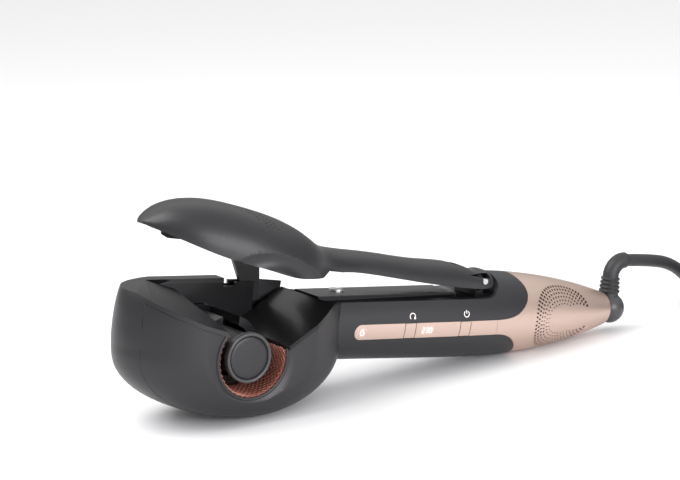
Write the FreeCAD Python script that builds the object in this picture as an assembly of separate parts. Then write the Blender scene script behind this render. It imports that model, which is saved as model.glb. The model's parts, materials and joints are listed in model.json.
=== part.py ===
import FreeCAD, Part

import math
import os

# Automatic hair curler. Lengths in mm, angles in degrees.
#
# The curler is drawn in a straight device frame: origin at the centre of the curl chamber, X towards
# the cord end, Y across (the open side of the chamber and the controls face -Y), Z up towards the lid.
# rest() then tips it into the posture in which it lies on a table: belly and rear cone on z = 0.

# ---- resting posture -------------------------------------------------------------------------------
REST_TILT = 7.4          # the handle slopes down towards the cord
CHAMBER_HEIGHT = 31.8    # chamber axis above the table
BELLY_X = 14.2           # belly contact ahead of the chamber axis, becomes x = 0

# ---- general fits ----------------------------------------------------------------------------------
WALL = 2.0               # housing wall
SEAM = 0.12              # hairline between fixed neighbours
GAP = 0.35               # clearance around parts that move
RUN_FIT = 0.05           # radial running clearance of shafts

# ---- head (curl chamber housing) -------------------------------------------------------------------
HEAD_X = 4.0             # centre of the side outline
HEAD_HALF_LENGTH = 59.0
HEAD_DEPTH = 31.0        # belly below the chamber axis
HEAD_UPPER = 44.0        # height of the full upper outline, before the rim trims it
HEAD_HALF_WIDTH = 31.0
BAND_HALF_WIDTH = 14.0   # the seams of the side covers
PLAN_HALF_WIDTH = 36.0   # half width of the plan ellipse that the flat sides trim
SIDE_ROUND = 31.9        # half width of the belly's superellipse
RIM_Z = 28.5             # top rim of the head

# ---- handle and rear cone --------------------------------------------------------------------------
HANDLE_Z = 11.4          # axis of the handle above the chamber axis
HANDLE_START = 30.0
NECK_X = 60.0
NECK_R = 20.0
GRIP_X = 130.0
GRIP_R = 21.8
CONE_X = 163.0           # station of the profile where the cone begins to taper
CONE_R = 21.5
CONE_MID_X = 197.0
CONE_MID_R = 17.8
END_X = 235.0
END_R = 8.8
# side view of the edge where the dark handle meets the gold cone, above and below the cone's tongue
TONGUE_X = 148.3
CONE_EDGE_ABOVE = ((151.0, 12.0), (160.2, 13.6), (167.4, 18.9), (170.4, 25.0), (168.6, 31.0), (164.0, 38.0))
CONE_EDGE_BELOW = ((151.5, 4.2), (158.2, 2.4), (163.6, -1.6), (167.4, -6.4), (169.4, -12.0))

# ---- curl chamber ----------------------------------------------------------------------------------
CHAMBER_R = 18.0
DISH_R = 22.6            # the side cover dips towards the opening inside this radius
DISH_DEPTH = 1.1
LINER_WALL = 1.2
LINER_Y = (-30.0, 21.8)
BARREL_R = 10.2
BARREL_WALL = 1.6
CAP_RING_R = 12.0
CAP_RING_T = 3.0
CAP_DISC_R = 10.0
CAP_RECESS = 0.5
CAP_FACE_Y = -27.0
ROTOR_R = 16.4
ROTOR_Y = (-8.0, 24.6)
ROTOR_SLOT = 9.0         # width of the hair slot in the rotor sleeve
COLLAR_R = 12.2          # bearing collar of the barrel
COLLAR_Y = 6.0           # the collar starts here
GEAR_T = 2.4
PLATE_Y = 22.4
PLATE_T = 1.5

# ---- drive -----------------------------------------------------------------------------------------
MODULE = 1.0
GEAR_TEETH = 40
PINION_TEETH = 14
PINION_ANGLE = -22.0     # direction from the barrel axis to the motor axis
BACKLASH = 0.22
MOTOR_R = 7.4
MOTOR_LENGTH = 24.0
MOTOR_SHAFT_R = 1.0

# ---- hair slot -------------------------------------------------------------------------------------
RAMP_SLOPE = -0.289      # front ramp: z = RAMP_Z + slope x + lean y
RAMP_LEAN = 0.20
RAMP_Z = 15.3
RAMP_END_X = -14.0
GUIDE_T = 2.2            # thickness of the ramp and slope pieces
SLOPE_FOOT = (18.6, 5.6)
SLOPE_TOP = (46.0, 23.6)
FAR_NOTCH = (13.0, 19.5)
FAR_NOTCH_Z = 24.4
WELL_END_X = 47.0        # far end of the well that the lid's hair guide enters

# ---- deck under the lid arm ------------------------------------------------------------------------
DECK_Z = 22.4
RIDGE_HALF_WIDTH = 10.4
RIDGE_Z = 24.6
DECK_REAR_X = 154.0
TRAY_HALF_WIDTH = 16.6
TRAY_T = 1.8

# ---- control strip ---------------------------------------------------------------------------------
STRIP_Z = 8.1
STRIP_HALF_HEIGHT = 3.8
STRIP_START_X = 62.6
STRIP_T = 1.0
BUTTON_X = (92.0, 125.2)
BUTTON_LENGTH = 6.0
BUTTON_TRAVEL = 0.5
BUTTON_STEM_R = 1.4
BOARD_Y = -12.6          # outer face of the control board
BOARD_T = 1.6
SWITCH_T = 2.0
BOARD_X = (72.0, 140.0)
LENSES = (("mode_lens", "strip_front", 64.6, 69.4), ("display_lens", "strip_middle", 101.0, 109.0))

# ---- lid -------------------------------------------------------------------------------------------
LID_WALL = 2.0
HINGE_X = 145.0
HINGE_Z = 30.0
LID_CLOSING = 8.8
HINGE_PIN_R = 1.5
HINGE_PIN_LENGTH = 26.6
LUG_R = 2.8
LUG_HALF_WIDTH = 8.0
ARM_HALF_WIDTH = 13.6
LINER_T = 1.5
LINER_LOW_Z = 54.0
LID_HEAD_GAP = 0.8       # between the closed lid and the head's rim
GUIDE_Y = 25.0           # near face of the guide that hangs from the lid's far side
GUIDE_PLATE_T = 2.2
GUIDE_TOP_X = (14.0, 34.0)
GUIDE_FOOT = (26.5, 16.0)

# ---- lid contact -----------------------------------------------------------------------------------
CONTACT_X = 66.0
CONTACT_Y = 4.0
CONTACT_R = 3.6
CONTACT_PROUD = 0.8
CONTACT_TRAVEL = 1.2

# ---- cord ------------------------------------------------------------------------------------------
CORD_D = 6.8
CONE_WALL = 1.8
SLEEVE_X = 171.0         # the dark sleeve behind the vents starts here
SOCKET_X = (227.0, 234.4)
KNUCKLE_R = 8.2
KNUCKLE_X = 241.6
JOURNAL_R = 5.0
FLANGE_R = 6.3
RELIEF_X = 240.6
RELIEF_BEND_Z = 28.5     # the relief stands straight up to here, then bends over
RELIEF_BEND_R = 8.6
RELIEF_FOOT_R = 5.6
RELIEF_BEND_TUBE_R = 4.3
RELIEF_RIBS = 4
RELIEF_RIB_PITCH = 2.2
POWER_BOARD_X = (166.0, 206.0)
COIL_CENTRE = (336.0, -26.0)
COIL_MID_R = 37.5
COIL_TURNS_ACROSS = 3
COIL_TURNS_HIGH = 3
LEAD_POINTS = ((276.0, 5.0, 28.5), (297.0, 13.0, 15.5), (316.0, 21.5, 4.45))
# the tail climbs from the coil's top turn on to the coil, from its middle: out, towards +Y, up
TAIL_POINTS = ((17.0, 43.6, 18.5), (34.0, 29.0, 24.0), (37.5, 12.0, 27.1))
TIE_ANGLE = 120.0        # counted from +Y
PLUG_LENGTH = 36.0
PLUG_HALF = (14.5, 6.6)
PLUG_PIN_R = 2.0
PLUG_PIN_LENGTH = 19.0
PLUG_PIN_SPACING = 18.6

vec = FreeCAD.Vector
X_AXIS = vec(1, 0, 0)
Y_AXIS = vec(0, 1, 0)
Z_AXIS = vec(0, 0, 1)


# ---- helpers ---------------------------------------------------------------------------------------
def rest(shape):
    """Tips a shape of the device frame into the resting posture."""
    placed = shape.copy()
    placed.rotate(vec(0, 0, 0), Y_AXIS, REST_TILT)
    placed.translate(vec(-BELLY_X, 0, CHAMBER_HEIGHT))
    return placed


def rest_point(x, y, z):
    tilt = math.radians(REST_TILT)
    return vec(x * math.cos(tilt) + z * math.sin(tilt) - BELLY_X, y,
               -x * math.sin(tilt) + z * math.cos(tilt) + CHAMBER_HEIGHT)


def box(x0, x1, y0, y1, z0, z1):
    return Part.makeBox(x1 - x0, y1 - y0, z1 - z0, vec(x0, y0, z0))


def rod(radius, start, direction, length):
    return Part.makeCylinder(radius, length, start, direction)


def tube(outer, inner, start, direction, length):
    return rod(outer, start, direction, length).cut(rod(inner, start, direction, length))


def prism(outline, y0, y1):
    """Side outline of (x, z) corners pushed across from y0 to y1."""
    corners = [vec(x, y0, z) for x, z in outline]
    face = Part.Face(Part.makePolygon(corners + corners[:1]))
    return face.extrude(vec(0, y1 - y0, 0))


def smooth(points, periodic=False):
    curve = Part.BSplineCurve()
    curve.interpolate(points, PeriodicFlag=periodic)
    return curve


def largest(shape):
    return max(shape.Solids, key=lambda solid: solid.Volume)


# ---- body envelopes --------------------------------------------------------------------------------
def head_section(y, inset):
    """Side outline of the head at one y: half an ellipse below, a boxy half above."""
    half_length = HEAD_HALF_LENGTH * math.sqrt(1 - (y / PLAN_HALF_WIDTH) ** 2) - inset
    depth = HEAD_DEPTH * (1 - abs(y / SIDE_ROUND) ** 4) ** 0.25 - inset
    points = []
    for i in range(28):
        t = 2 * math.pi * i / 28
        c, s = math.cos(t), math.sin(t)
        if s <= 0:
            points.append(vec(HEAD_X + half_length * c, y, depth * s))
        else:
            power = 0.5
            x = HEAD_X + half_length * math.copysign(abs(c) ** power, c)
            points.append(vec(x, y, HEAD_UPPER * s ** power))
    return Part.Wire(smooth(points, True).toShape())


def head_envelope(inset=0.0):
    edge = HEAD_HALF_WIDTH - inset
    stations = [0.0, 0.3, 0.55, 0.75, 0.88, 0.96, 1.0]
    rows = [-edge * s for s in reversed(stations)] + [edge * s for s in stations[1:]]
    return Part.makeLoft([head_section(y, inset) for y in rows], True, False)


def handle_envelope(inset=0.0, end=END_X):
    """Body of revolution round the handle axis, from inside the head to the cord end."""
    rim = [(HANDLE_START, NECK_R), (NECK_X, NECK_R), (GRIP_X, GRIP_R), (CONE_X, CONE_R),
           (CONE_MID_X, CONE_MID_R), (END_X, END_R)]
    curve = smooth([vec(x, 0, r - inset) for x, r in rim]).toShape()
    first, last = vec(HANDLE_START, 0, 0), vec(END_X, 0, 0)
    sides = [curve, Part.makeLine(vec(END_X, 0, END_R - inset), last), Part.makeLine(last, first),
             Part.makeLine(first, vec(HANDLE_START, 0, NECK_R - inset))]
    solid = Part.Face(Part.Wire(sides)).revolve(vec(0, 0, 0), X_AXIS, 360)
    solid.translate(vec(0, 0, HANDLE_Z))
    return solid


def deck_cutter(offset=0.0):
    """Everything above the deck: level under the arm, rising round the arm's rear end."""
    z = DECK_Z - offset
    low = vec(10, -50, z)
    rise = [vec(DECK_REAR_X - 12, -50, z), vec(DECK_REAR_X - 2.6, -50, z + 4), vec(DECK_REAR_X, -50, z + 14)]
    top = [vec(DECK_REAR_X, -50, 80), vec(10, -50, 80)]
    edges = [Part.makeLine(low, rise[0]), Part.Arc(*rise).toShape(), Part.makeLine(rise[2], top[0]),
             Part.makeLine(top[0], top[1]), Part.makeLine(top[1], low)]
    return Part.Face(Part.Wire(edges)).extrude(vec(0, 100, 0))


def ramp_z(x, y):
    return RAMP_Z + RAMP_SLOPE * x + RAMP_LEAN * y


def ramp_cutter(drop=0.0):
    """Space above the leaning front ramp, ahead of the slot."""
    y0 = -40.0
    outline = [(-70, ramp_z(-70, y0) - drop), (RAMP_END_X, ramp_z(RAMP_END_X, y0) - drop),
               (RAMP_END_X, 90), (-70, 90)]
    corners = [vec(x, y0, z) for x, z in outline]
    face = Part.Face(Part.makePolygon(corners + corners[:1]))
    return face.extrude(vec(0, PLATE_Y - y0, RAMP_LEAN * (PLATE_Y - y0)))


def slope_cutter(drop=0.0):
    """Space above the rear slope and above the open top of the chamber."""
    foot_x, foot_z = SLOPE_FOOT
    top_x, top_z = SLOPE_TOP
    outline = [(RAMP_END_X, 0), (foot_x, 0), (foot_x, foot_z - drop), (top_x, top_z - drop),
               (top_x, 90), (RAMP_END_X, 90)]
    return prism(outline, -40, PLATE_Y)


def upper_space(drop=0.0):
    """All that lies above the head's top skin: rim, ramp, slope and deck."""
    rim = box(-80, 70, -50, 50, RIM_Z - drop, 90)
    deck = deck_cutter().common(box(SLOPE_TOP[0], 200, -50, 50, 0, 90))
    return [rim, ramp_cutter(drop), slope_cutter(drop), deck]


def cut_all(shape, cutters):
    for cutter in cutters:
        shape = shape.cut(cutter)
    return shape


# ---- head housing ----------------------------------------------------------------------------------
def head_pieces():
    """Two side covers and a centre band below, and the top skin split into ramp and slope."""
    handle_hollow = handle_envelope(WALL).common(box(HANDLE_START, 90, -40, 40, -40, 60))
    opening = rod(CHAMBER_R, vec(0, -45, 0), Y_AXIS, 45 + PLATE_Y)
    crown = cut_all(head_envelope(), upper_space())
    under = cut_all(head_envelope(), upper_space(GUIDE_T))
    shell = cut_all(under, [head_envelope(WALL), handle_hollow, rod(CHAMBER_R, vec(0, -45, 0), Y_AXIS, 30)])
    notch = box(FAR_NOTCH[0], FAR_NOTCH[1], PLATE_Y, 50, FAR_NOTCH_Z, 90)
    shell = shell.cut(notch)
    far_well = box(FAR_NOTCH[0], WELL_END_X, PLATE_Y, HEAD_HALF_WIDTH - WALL, 0, 90)
    liner_space = rod(CHAMBER_R + LINER_WALL + SEAM, vec(0, -45, 0), Y_AXIS, 90)
    skin = cut_all(crown, [under, far_well, notch, opening, liner_space.common(box(-30, 30, -50, 30, -30, 14))])
    rebate = rod(CHAMBER_R + LINER_WALL + SEAM, vec(0, LINER_Y[0] - SEAM, 0), Y_AXIS, 20)
    dish_foot_r = CHAMBER_R + LINER_WALL + 2 * SEAM
    dish = Part.makeCone(DISH_R, dish_foot_r, DISH_DEPTH, vec(0, -HEAD_HALF_WIDTH, 0), Y_AXIS)
    shell = cut_all(shell, [rebate, dish])
    far_cover = shell.common(box(-80, 80, BAND_HALF_WIDTH, 50, -50, 60))
    return {
        "near_side_cover": shell.common(box(-80, 80, -50, -BAND_HALF_WIDTH, -50, 60)),
        "centre_band": shell.common(box(-80, 80, -BAND_HALF_WIDTH, BAND_HALF_WIDTH, -50, 60)),
        "far_side_cover": far_cover,
        "front_hair_ramp": largest(skin.common(box(-80, FAR_NOTCH[0], -50, 50, -50, 60))),
        "rear_hair_slope": largest(skin.common(box(FAR_NOTCH[0], SLOPE_TOP[0], -50, 50, -50, 60))),
    }


# ---- curl chamber ----------------------------------------------------------------------------------
def chamber_pieces():
    start, end = LINER_Y
    liner = tube(CHAMBER_R + LINER_WALL, CHAMBER_R, vec(0, start, 0), Y_AXIS, end - start)
    top = cut_all(liner, [ramp_cutter(GUIDE_T + SEAM), slope_cutter(GUIDE_T + SEAM)])
    back = HEAD_HALF_WIDTH - WALL
    front = CAP_FACE_Y + CAP_RING_T
    barrel = rod(BARREL_R, vec(0, front, 0), Y_AXIS, back - front)
    barrel = barrel.fuse(rod(COLLAR_R, vec(0, COLLAR_Y, 0), Y_AXIS, back - COLLAR_Y))
    barrel = barrel.cut(rod(BARREL_R - BARREL_WALL, vec(0, front - 1, 0), Y_AXIS, back - front - 3))
    ring = tube(CAP_RING_R, CAP_DISC_R, vec(0, CAP_FACE_Y, 0), Y_AXIS, CAP_RING_T)
    disc = rod(CAP_DISC_R, vec(0, CAP_FACE_Y + CAP_RECESS, 0), Y_AXIS, CAP_RING_T - CAP_RECESS)
    bore_r = BARREL_R - BARREL_WALL
    heater = box(-bore_r * 0.6, bore_r * 0.6, front + 3, back - 9, -2, 2)
    wedge = rod(bore_r - SEAM, vec(0, front + 4, 0), Y_AXIS, back - front - 16)
    wedge = wedge.common(box(-20, 20, -50, 50, 2, 20))
    return {
        "chamber_liner": top,
        "curl_barrel": barrel,
        "barrel_cap_ring": ring,
        "barrel_cap_disc": disc,
        "barrel_heater": heater,
        "heater_wedge": wedge,
    }


def tooth_ring(teeth, bore, thickness, slim):
    """Spur gear blank with straight-flanked teeth, axis along Y, one tooth on +X."""
    pitch_r = MODULE * teeth / 2
    root_r = pitch_r - 1.2 * MODULE
    tip_r = pitch_r + MODULE
    step = 2 * math.pi / teeth
    points = []
    for i in range(teeth):
        middle = i * step
        half_root, half_pitch, half_tip = 0.31 * step, 0.25 * step - slim / pitch_r / 2, 0.12 * step
        for r, a in [(root_r, -half_root), (pitch_r, -half_pitch), (tip_r, -half_tip),
                     (tip_r, half_tip), (pitch_r, half_pitch), (root_r, half_root)]:
            points.append(vec(r * math.cos(middle + a), 0, r * math.sin(middle + a)))
    face = Part.Face(Part.makePolygon(points + points[:1]))
    gear = face.extrude(vec(0, thickness, 0))
    return gear.cut(rod(bore, vec(0, -1, 0), Y_AXIS, thickness + 2))


def drive_pieces():
    """Rotor sleeve with its ring gear, the pinion, the motor and the plate that carries it."""
    start, end = ROTOR_Y
    bore = COLLAR_R + RUN_FIT
    rotor = tube(ROTOR_R, bore, vec(0, start, 0), Y_AXIS, end - start)
    slot = box(-ROTOR_SLOT / 2, ROTOR_SLOT / 2, start - 1, PLATE_Y - 4, 0, 30)
    rotor = rotor.cut(slot)
    gear = tooth_ring(GEAR_TEETH, bore, GEAR_T, BACKLASH)
    gear.translate(vec(0, end, 0))
    spacing = MODULE * (GEAR_TEETH + PINION_TEETH) / 2
    angle = math.radians(PINION_ANGLE)
    axis = vec(spacing * math.cos(angle), 0, spacing * math.sin(angle))
    pinion = tooth_ring(PINION_TEETH, MOTOR_SHAFT_R, GEAR_T, BACKLASH)
    # the pinion turns so that one of its gaps faces the ring gear's tooth on the line of centres
    gear_tooth = 360.0 / GEAR_TEETH
    pinion_tooth = 360.0 / PINION_TEETH
    off_tooth = (PINION_ANGLE / gear_tooth) % 1.0
    turn = PINION_ANGLE + 180.0 + pinion_tooth * (0.5 + off_tooth)
    pinion.rotate(vec(0, 0, 0), Y_AXIS, -turn)
    pinion.translate(axis + vec(0, end, 0))
    motor_back = PLATE_Y - MOTOR_LENGTH
    motor = rod(MOTOR_R, axis + vec(0, motor_back, 0), Y_AXIS, MOTOR_LENGTH)
    motor = motor.fuse(rod(3.0, axis + vec(0, motor_back - 1.5, 0), Y_AXIS, 1.5))
    shaft = rod(MOTOR_SHAFT_R, axis + vec(0, PLATE_Y, 0), Y_AXIS, end + GEAR_T - PLATE_Y)
    plate = head_envelope(WALL + SEAM).common(box(-80, 80, PLATE_Y, PLATE_Y + PLATE_T, -50, RIM_Z - GUIDE_T))
    plate = cut_all(plate, [
        rod(ROTOR_R + GAP, vec(0, 0, 0), Y_AXIS, 60),
        rod(MOTOR_SHAFT_R + 1.0, axis, Y_AXIS, 60),
        box(FAR_NOTCH[0], FAR_NOTCH[1], 0, 60, FAR_NOTCH_Z, 90),
        box(HANDLE_START, 90, 0, 60, -50, 60),
    ])
    return {
        "rotor_sleeve": rotor,
        "rotor_gear": gear,
        "drive_pinion": pinion.fuse(shaft),
        "drive_motor": motor,
        "gear_plate": largest(plate),
    }


# ---- handle ----------------------------------------------------------------------------------------
def cone_space(grow=0.0):
    """Side outline of the gold cone with its tongue that meets the strip, pushed right across."""
    start = TONGUE_X - grow
    above = [vec(x - grow, 0, z + grow) for x, z in CONE_EDGE_ABOVE]
    below = [vec(x - grow, 0, z - grow) for x, z in CONE_EDGE_BELOW]
    nose_top = vec(start, 0, STRIP_Z + STRIP_HALF_HEIGHT + grow)
    nose_foot = vec(start, 0, STRIP_Z - STRIP_HALF_HEIGHT - grow)
    corners = [above[-1], vec(above[-1].x, 0, 80), vec(300, 0, 80), vec(300, 0, -80), vec(below[-1].x, 0, -80),
               below[-1]]
    edges = [smooth([nose_top] + above).toShape(), smooth([nose_foot] + below).toShape(),
             Part.makeLine(nose_top, nose_foot)]
    edges += [Part.makeLine(a, b) for a, b in zip(corners, corners[1:])]
    face = Part.Face(Part.Wire(Part.sortEdges(edges)[0]))
    face.translate(vec(0, -50, 0))
    return face.extrude(vec(0, 100, 0))


def strip_space(x0, x1, grow=0.0):
    """Band across the near side of the handle that the control strip fills; its front end is round."""
    half = STRIP_HALF_HEIGHT + grow
    band = box(max(x0, STRIP_START_X + STRIP_HALF_HEIGHT), x1, -40, -10, STRIP_Z - half, STRIP_Z + half)
    if x0 <= STRIP_START_X:
        nose = rod(half, vec(STRIP_START_X + STRIP_HALF_HEIGHT, -40, STRIP_Z), Y_AXIS, 30)
        band = band.fuse(nose)
    return band


def skin_between(outer_inset, inner_inset, space):
    """The layer of the handle's surface between two depths, inside a space."""
    return handle_envelope(outer_inset).common(space).cut(handle_envelope(inner_inset))


def handle_pieces():
    tube_body = handle_envelope().cut(handle_envelope(WALL))
    tube_body = cut_all(tube_body, [head_envelope(), cone_space(SEAM), deck_cutter()])
    near = tube_body.common(box(0, 300, -50, 0, -50, 80))
    far = tube_body.common(box(0, 300, 0, 50, -50, 80))
    near = near.cut(skin_between(-1.0, STRIP_T, strip_space(STRIP_START_X, TONGUE_X, SEAM)))
    pieces = {}
    ends = []
    for name, x in zip(["direction_button", "power_button"], BUTTON_X):
        stem_y = BOARD_Y - SWITCH_T - BUTTON_TRAVEL - 0.1
        middle = vec(x + BUTTON_LENGTH / 2, 0, STRIP_Z)
        button = skin_between(0.0, STRIP_T, strip_space(x, x + BUTTON_LENGTH, -0.1))
        stem = rod(BUTTON_STEM_R, middle + vec(0, stem_y, 0), vec(0, -1, 0), 12)
        stem = stem.common(handle_envelope(STRIP_T / 2))
        button = button.fuse(stem)
        travel_space = skin_between(STRIP_T / 2, STRIP_T + BUTTON_TRAVEL + 0.15,
                                    strip_space(x - GAP / 2, x + BUTTON_LENGTH + GAP / 2, SEAM))
        near = near.cut(travel_space).cut(rod(BUTTON_STEM_R + 0.25, middle + vec(0, -30, 0), Y_AXIS, 20))
        pieces[name] = button
        switch = box(middle.x - 2.2, middle.x + 2.2, BOARD_Y - SWITCH_T, BOARD_Y, STRIP_Z - 2.2, STRIP_Z + 2.2)
        pieces[name.replace("button", "switch")] = switch
        ends.append((x - GAP, x + BUTTON_LENGTH + GAP))
    stretches = [("strip_front", STRIP_START_X, ends[0][0]), ("strip_middle", ends[0][1], ends[1][0]),
                 ("strip_rear", ends[1][1], TONGUE_X - SEAM)]
    strips = {name: skin_between(0.0, STRIP_T, strip_space(x0, x1)) for name, x0, x1 in stretches}
    for name, host, x0, x1 in LENSES:
        window = box(x0, x1, -40, -10, STRIP_Z - 2.6, STRIP_Z + 2.6)
        lens = skin_between(0.0, STRIP_T / 2, window)
        strips[host] = strips[host].cut(lens)
        pieces[name] = lens
    board = box(BOARD_X[0], BOARD_X[1], BOARD_Y, BOARD_Y + BOARD_T, STRIP_Z - 9, STRIP_Z + 9)
    for x in (BOARD_X[0] + 5, BOARD_X[1] - 5):
        post = rod(2.2, vec(x, BOARD_Y, STRIP_Z + 6.4), vec(0, -1, 0), 12).common(handle_envelope(WALL / 2))
        near = near.fuse(post)
    pieces.update(strips)
    pieces["control_board"] = board
    pieces["near_handle_shell"] = near
    pieces["far_handle_shell"] = far
    return pieces


def deck_pieces():
    """Tray under the lid arm with its ridge and hinge lug, the lid contact and its switch."""
    inner = handle_envelope(WALL)
    layer = deck_cutter(TRAY_T).cut(deck_cutter())
    ahead = box(SLOPE_TOP[0] + SEAM, 200, -50, 50, 0, 80)
    tray = inner.common(layer).common(ahead)
    ridge = box(SLOPE_TOP[0] + SEAM, HINGE_X - 16, -RIDGE_HALF_WIDTH, RIDGE_HALF_WIDTH,
                DECK_Z - TRAY_T, RIDGE_Z)
    lug = box(HINGE_X - LUG_R, HINGE_X + LUG_R, -LUG_HALF_WIDTH, LUG_HALF_WIDTH, DECK_Z - TRAY_T / 2, HINGE_Z)
    lug = lug.fuse(rod(LUG_R, vec(HINGE_X, -LUG_HALF_WIDTH, HINGE_Z), Y_AXIS, 2 * LUG_HALF_WIDTH))
    tray = tray.fuse(ridge.common(handle_envelope(WALL))).fuse(lug)
    pin_line = vec(HINGE_X, -HINGE_PIN_LENGTH / 2, HINGE_Z)
    tray = tray.cut(rod(HINGE_PIN_R, pin_line, Y_AXIS, HINGE_PIN_LENGTH))
    tray = largest(tray.cut(rod(CONTACT_R + RUN_FIT, vec(CONTACT_X, CONTACT_Y, 0), Z_AXIS, 60)))
    top = RIDGE_Z + CONTACT_PROUD
    plunger = rod(CONTACT_R, vec(CONTACT_X, CONTACT_Y, top - 7), Z_AXIS, 7)
    under = DECK_Z - TRAY_T
    switch_top = top - 7 - CONTACT_TRAVEL - 0.2
    switch = box(CONTACT_X - 7, CONTACT_X + 7, CONTACT_Y - 4, CONTACT_Y + 4, switch_top - 4, under)
    switch = switch.cut(box(CONTACT_X - 5, CONTACT_X + 5, CONTACT_Y - 5, CONTACT_Y + 5, switch_top, under + 1))
    spring_y = LUG_HALF_WIDTH + 0.4
    spring = tube(LUG_R - 0.2, HINGE_PIN_R + 0.15, vec(HINGE_X, spring_y, HINGE_Z), Y_AXIS, 2.6)
    return {
        "deck_tray": tray,
        "hinge_pin": rod(HINGE_PIN_R, pin_line, Y_AXIS, HINGE_PIN_LENGTH),
        "lid_spring": spring,
        "lid_contact": plunger,
        "contact_switch": switch,
    }


# ---- lid -------------------------------------------------------------------------------------------
# stations along the lid: x, half width, height of the lower edge, height of the crown
LID_STATIONS = (
    (-47.0, 3.0, 59.0, 60.6), (-43.5, 9.5, 57.6, 63.4), (-37.0, 16.0, 55.0, 67.0), (-27.0, 22.5, 51.0, 69.6),
    (-12.0, 27.5, 45.8, 69.8), (4.0, 30.5, 41.8, 66.9), (20.0, 30.8, 37.6, 62.5), (34.0, 27.5, 36.2, 56.2),
    (46.0, 20.0, 36.9, 49.2), (58.0, 15.2, 36.9, 46.3), (80.0, ARM_HALF_WIDTH, 34.4, 44.0),
    (110.0, ARM_HALF_WIDTH, 29.8, 40.2), (138.0, ARM_HALF_WIDTH, 26.7, 36.4),
    (150.6, ARM_HALF_WIDTH - 0.8, 26.9, 34.6),
)


def lid_section(x, half_width, edge, crown, inset):
    """Arched section: a superelliptic arch closed by a straight lower side."""
    half = half_width - inset
    top = crown - inset
    low = edge - (4.0 if inset else 0.0)
    points = []
    for i in range(13):
        t = math.pi * i / 12
        c, s = math.cos(t), math.sin(t)
        points.append(vec(x, half * math.copysign(abs(c) ** 0.8, c), low + (top - low) * s ** 0.8))
    return Part.Wire([smooth(points).toShape(), Part.makeLine(points[-1], points[0])])


def lid_envelope(inset=0.0, first=0, last=len(LID_STATIONS)):
    return Part.makeLoft([lid_section(*row, inset) for row in LID_STATIONS[first:last]], True, False)


def lid_closed(shape, angle):
    turned = shape.copy()
    turned.rotate(vec(HINGE_X, 0, HINGE_Z), Y_AXIS, angle)
    return turned


def lid_pieces():
    """Lid with its arm, the liner under its front, and the guide on its far side."""
    hollow = lid_envelope(LID_WALL, 1, len(LID_STATIONS) - 1)
    shell = lid_envelope().cut(hollow)
    rear = box(HINGE_X - 12, HINGE_X + 4.4, -ARM_HALF_WIDTH + LID_WALL, ARM_HALF_WIDTH - LID_WALL,
               0, HINGE_Z + LUG_R + 0.6)
    shell = shell.cut(rear)
    keep_out = cut_all(head_envelope(), upper_space())
    keep_out.translate(vec(0, 0, LID_HEAD_GAP))
    keep_out = lid_closed(keep_out, LID_CLOSING)
    shell = shell.cut(keep_out)
    bore = rod(HINGE_PIN_R + RUN_FIT, vec(HINGE_X, -40, HINGE_Z), Y_AXIS, 80)
    shell = largest(shell.cut(bore))
    band = box(-41, -6, -50, 50, 0, 90)
    liner = lid_envelope(LID_WALL + SEAM, 1, 9).common(band).cut(lid_envelope(LID_WALL + LINER_T, 1, 9))
    liner = largest(liner.cut(box(-50, 20, -50, 50, 0, LINER_LOW_Z)).cut(keep_out))
    x0, x1 = GUIDE_TOP_X
    foot_x, foot_z = GUIDE_FOOT
    outline = [(x0, 62), (x0 + 3.0, 41.0), (foot_x - 3.0, foot_z + 10.0), GUIDE_FOOT,
               (foot_x + 9.0, foot_z + 1.0), (x1, 34.0), (x1, 62)]
    guide = prism(outline, GUIDE_Y, GUIDE_Y + GUIDE_PLATE_T).cut(lid_envelope().cut(hollow))
    guide = min(guide.Solids, key=lambda solid: solid.BoundBox.ZMin)
    return {"lid_shell": shell, "lid_liner": liner, "hair_guide": guide}


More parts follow.
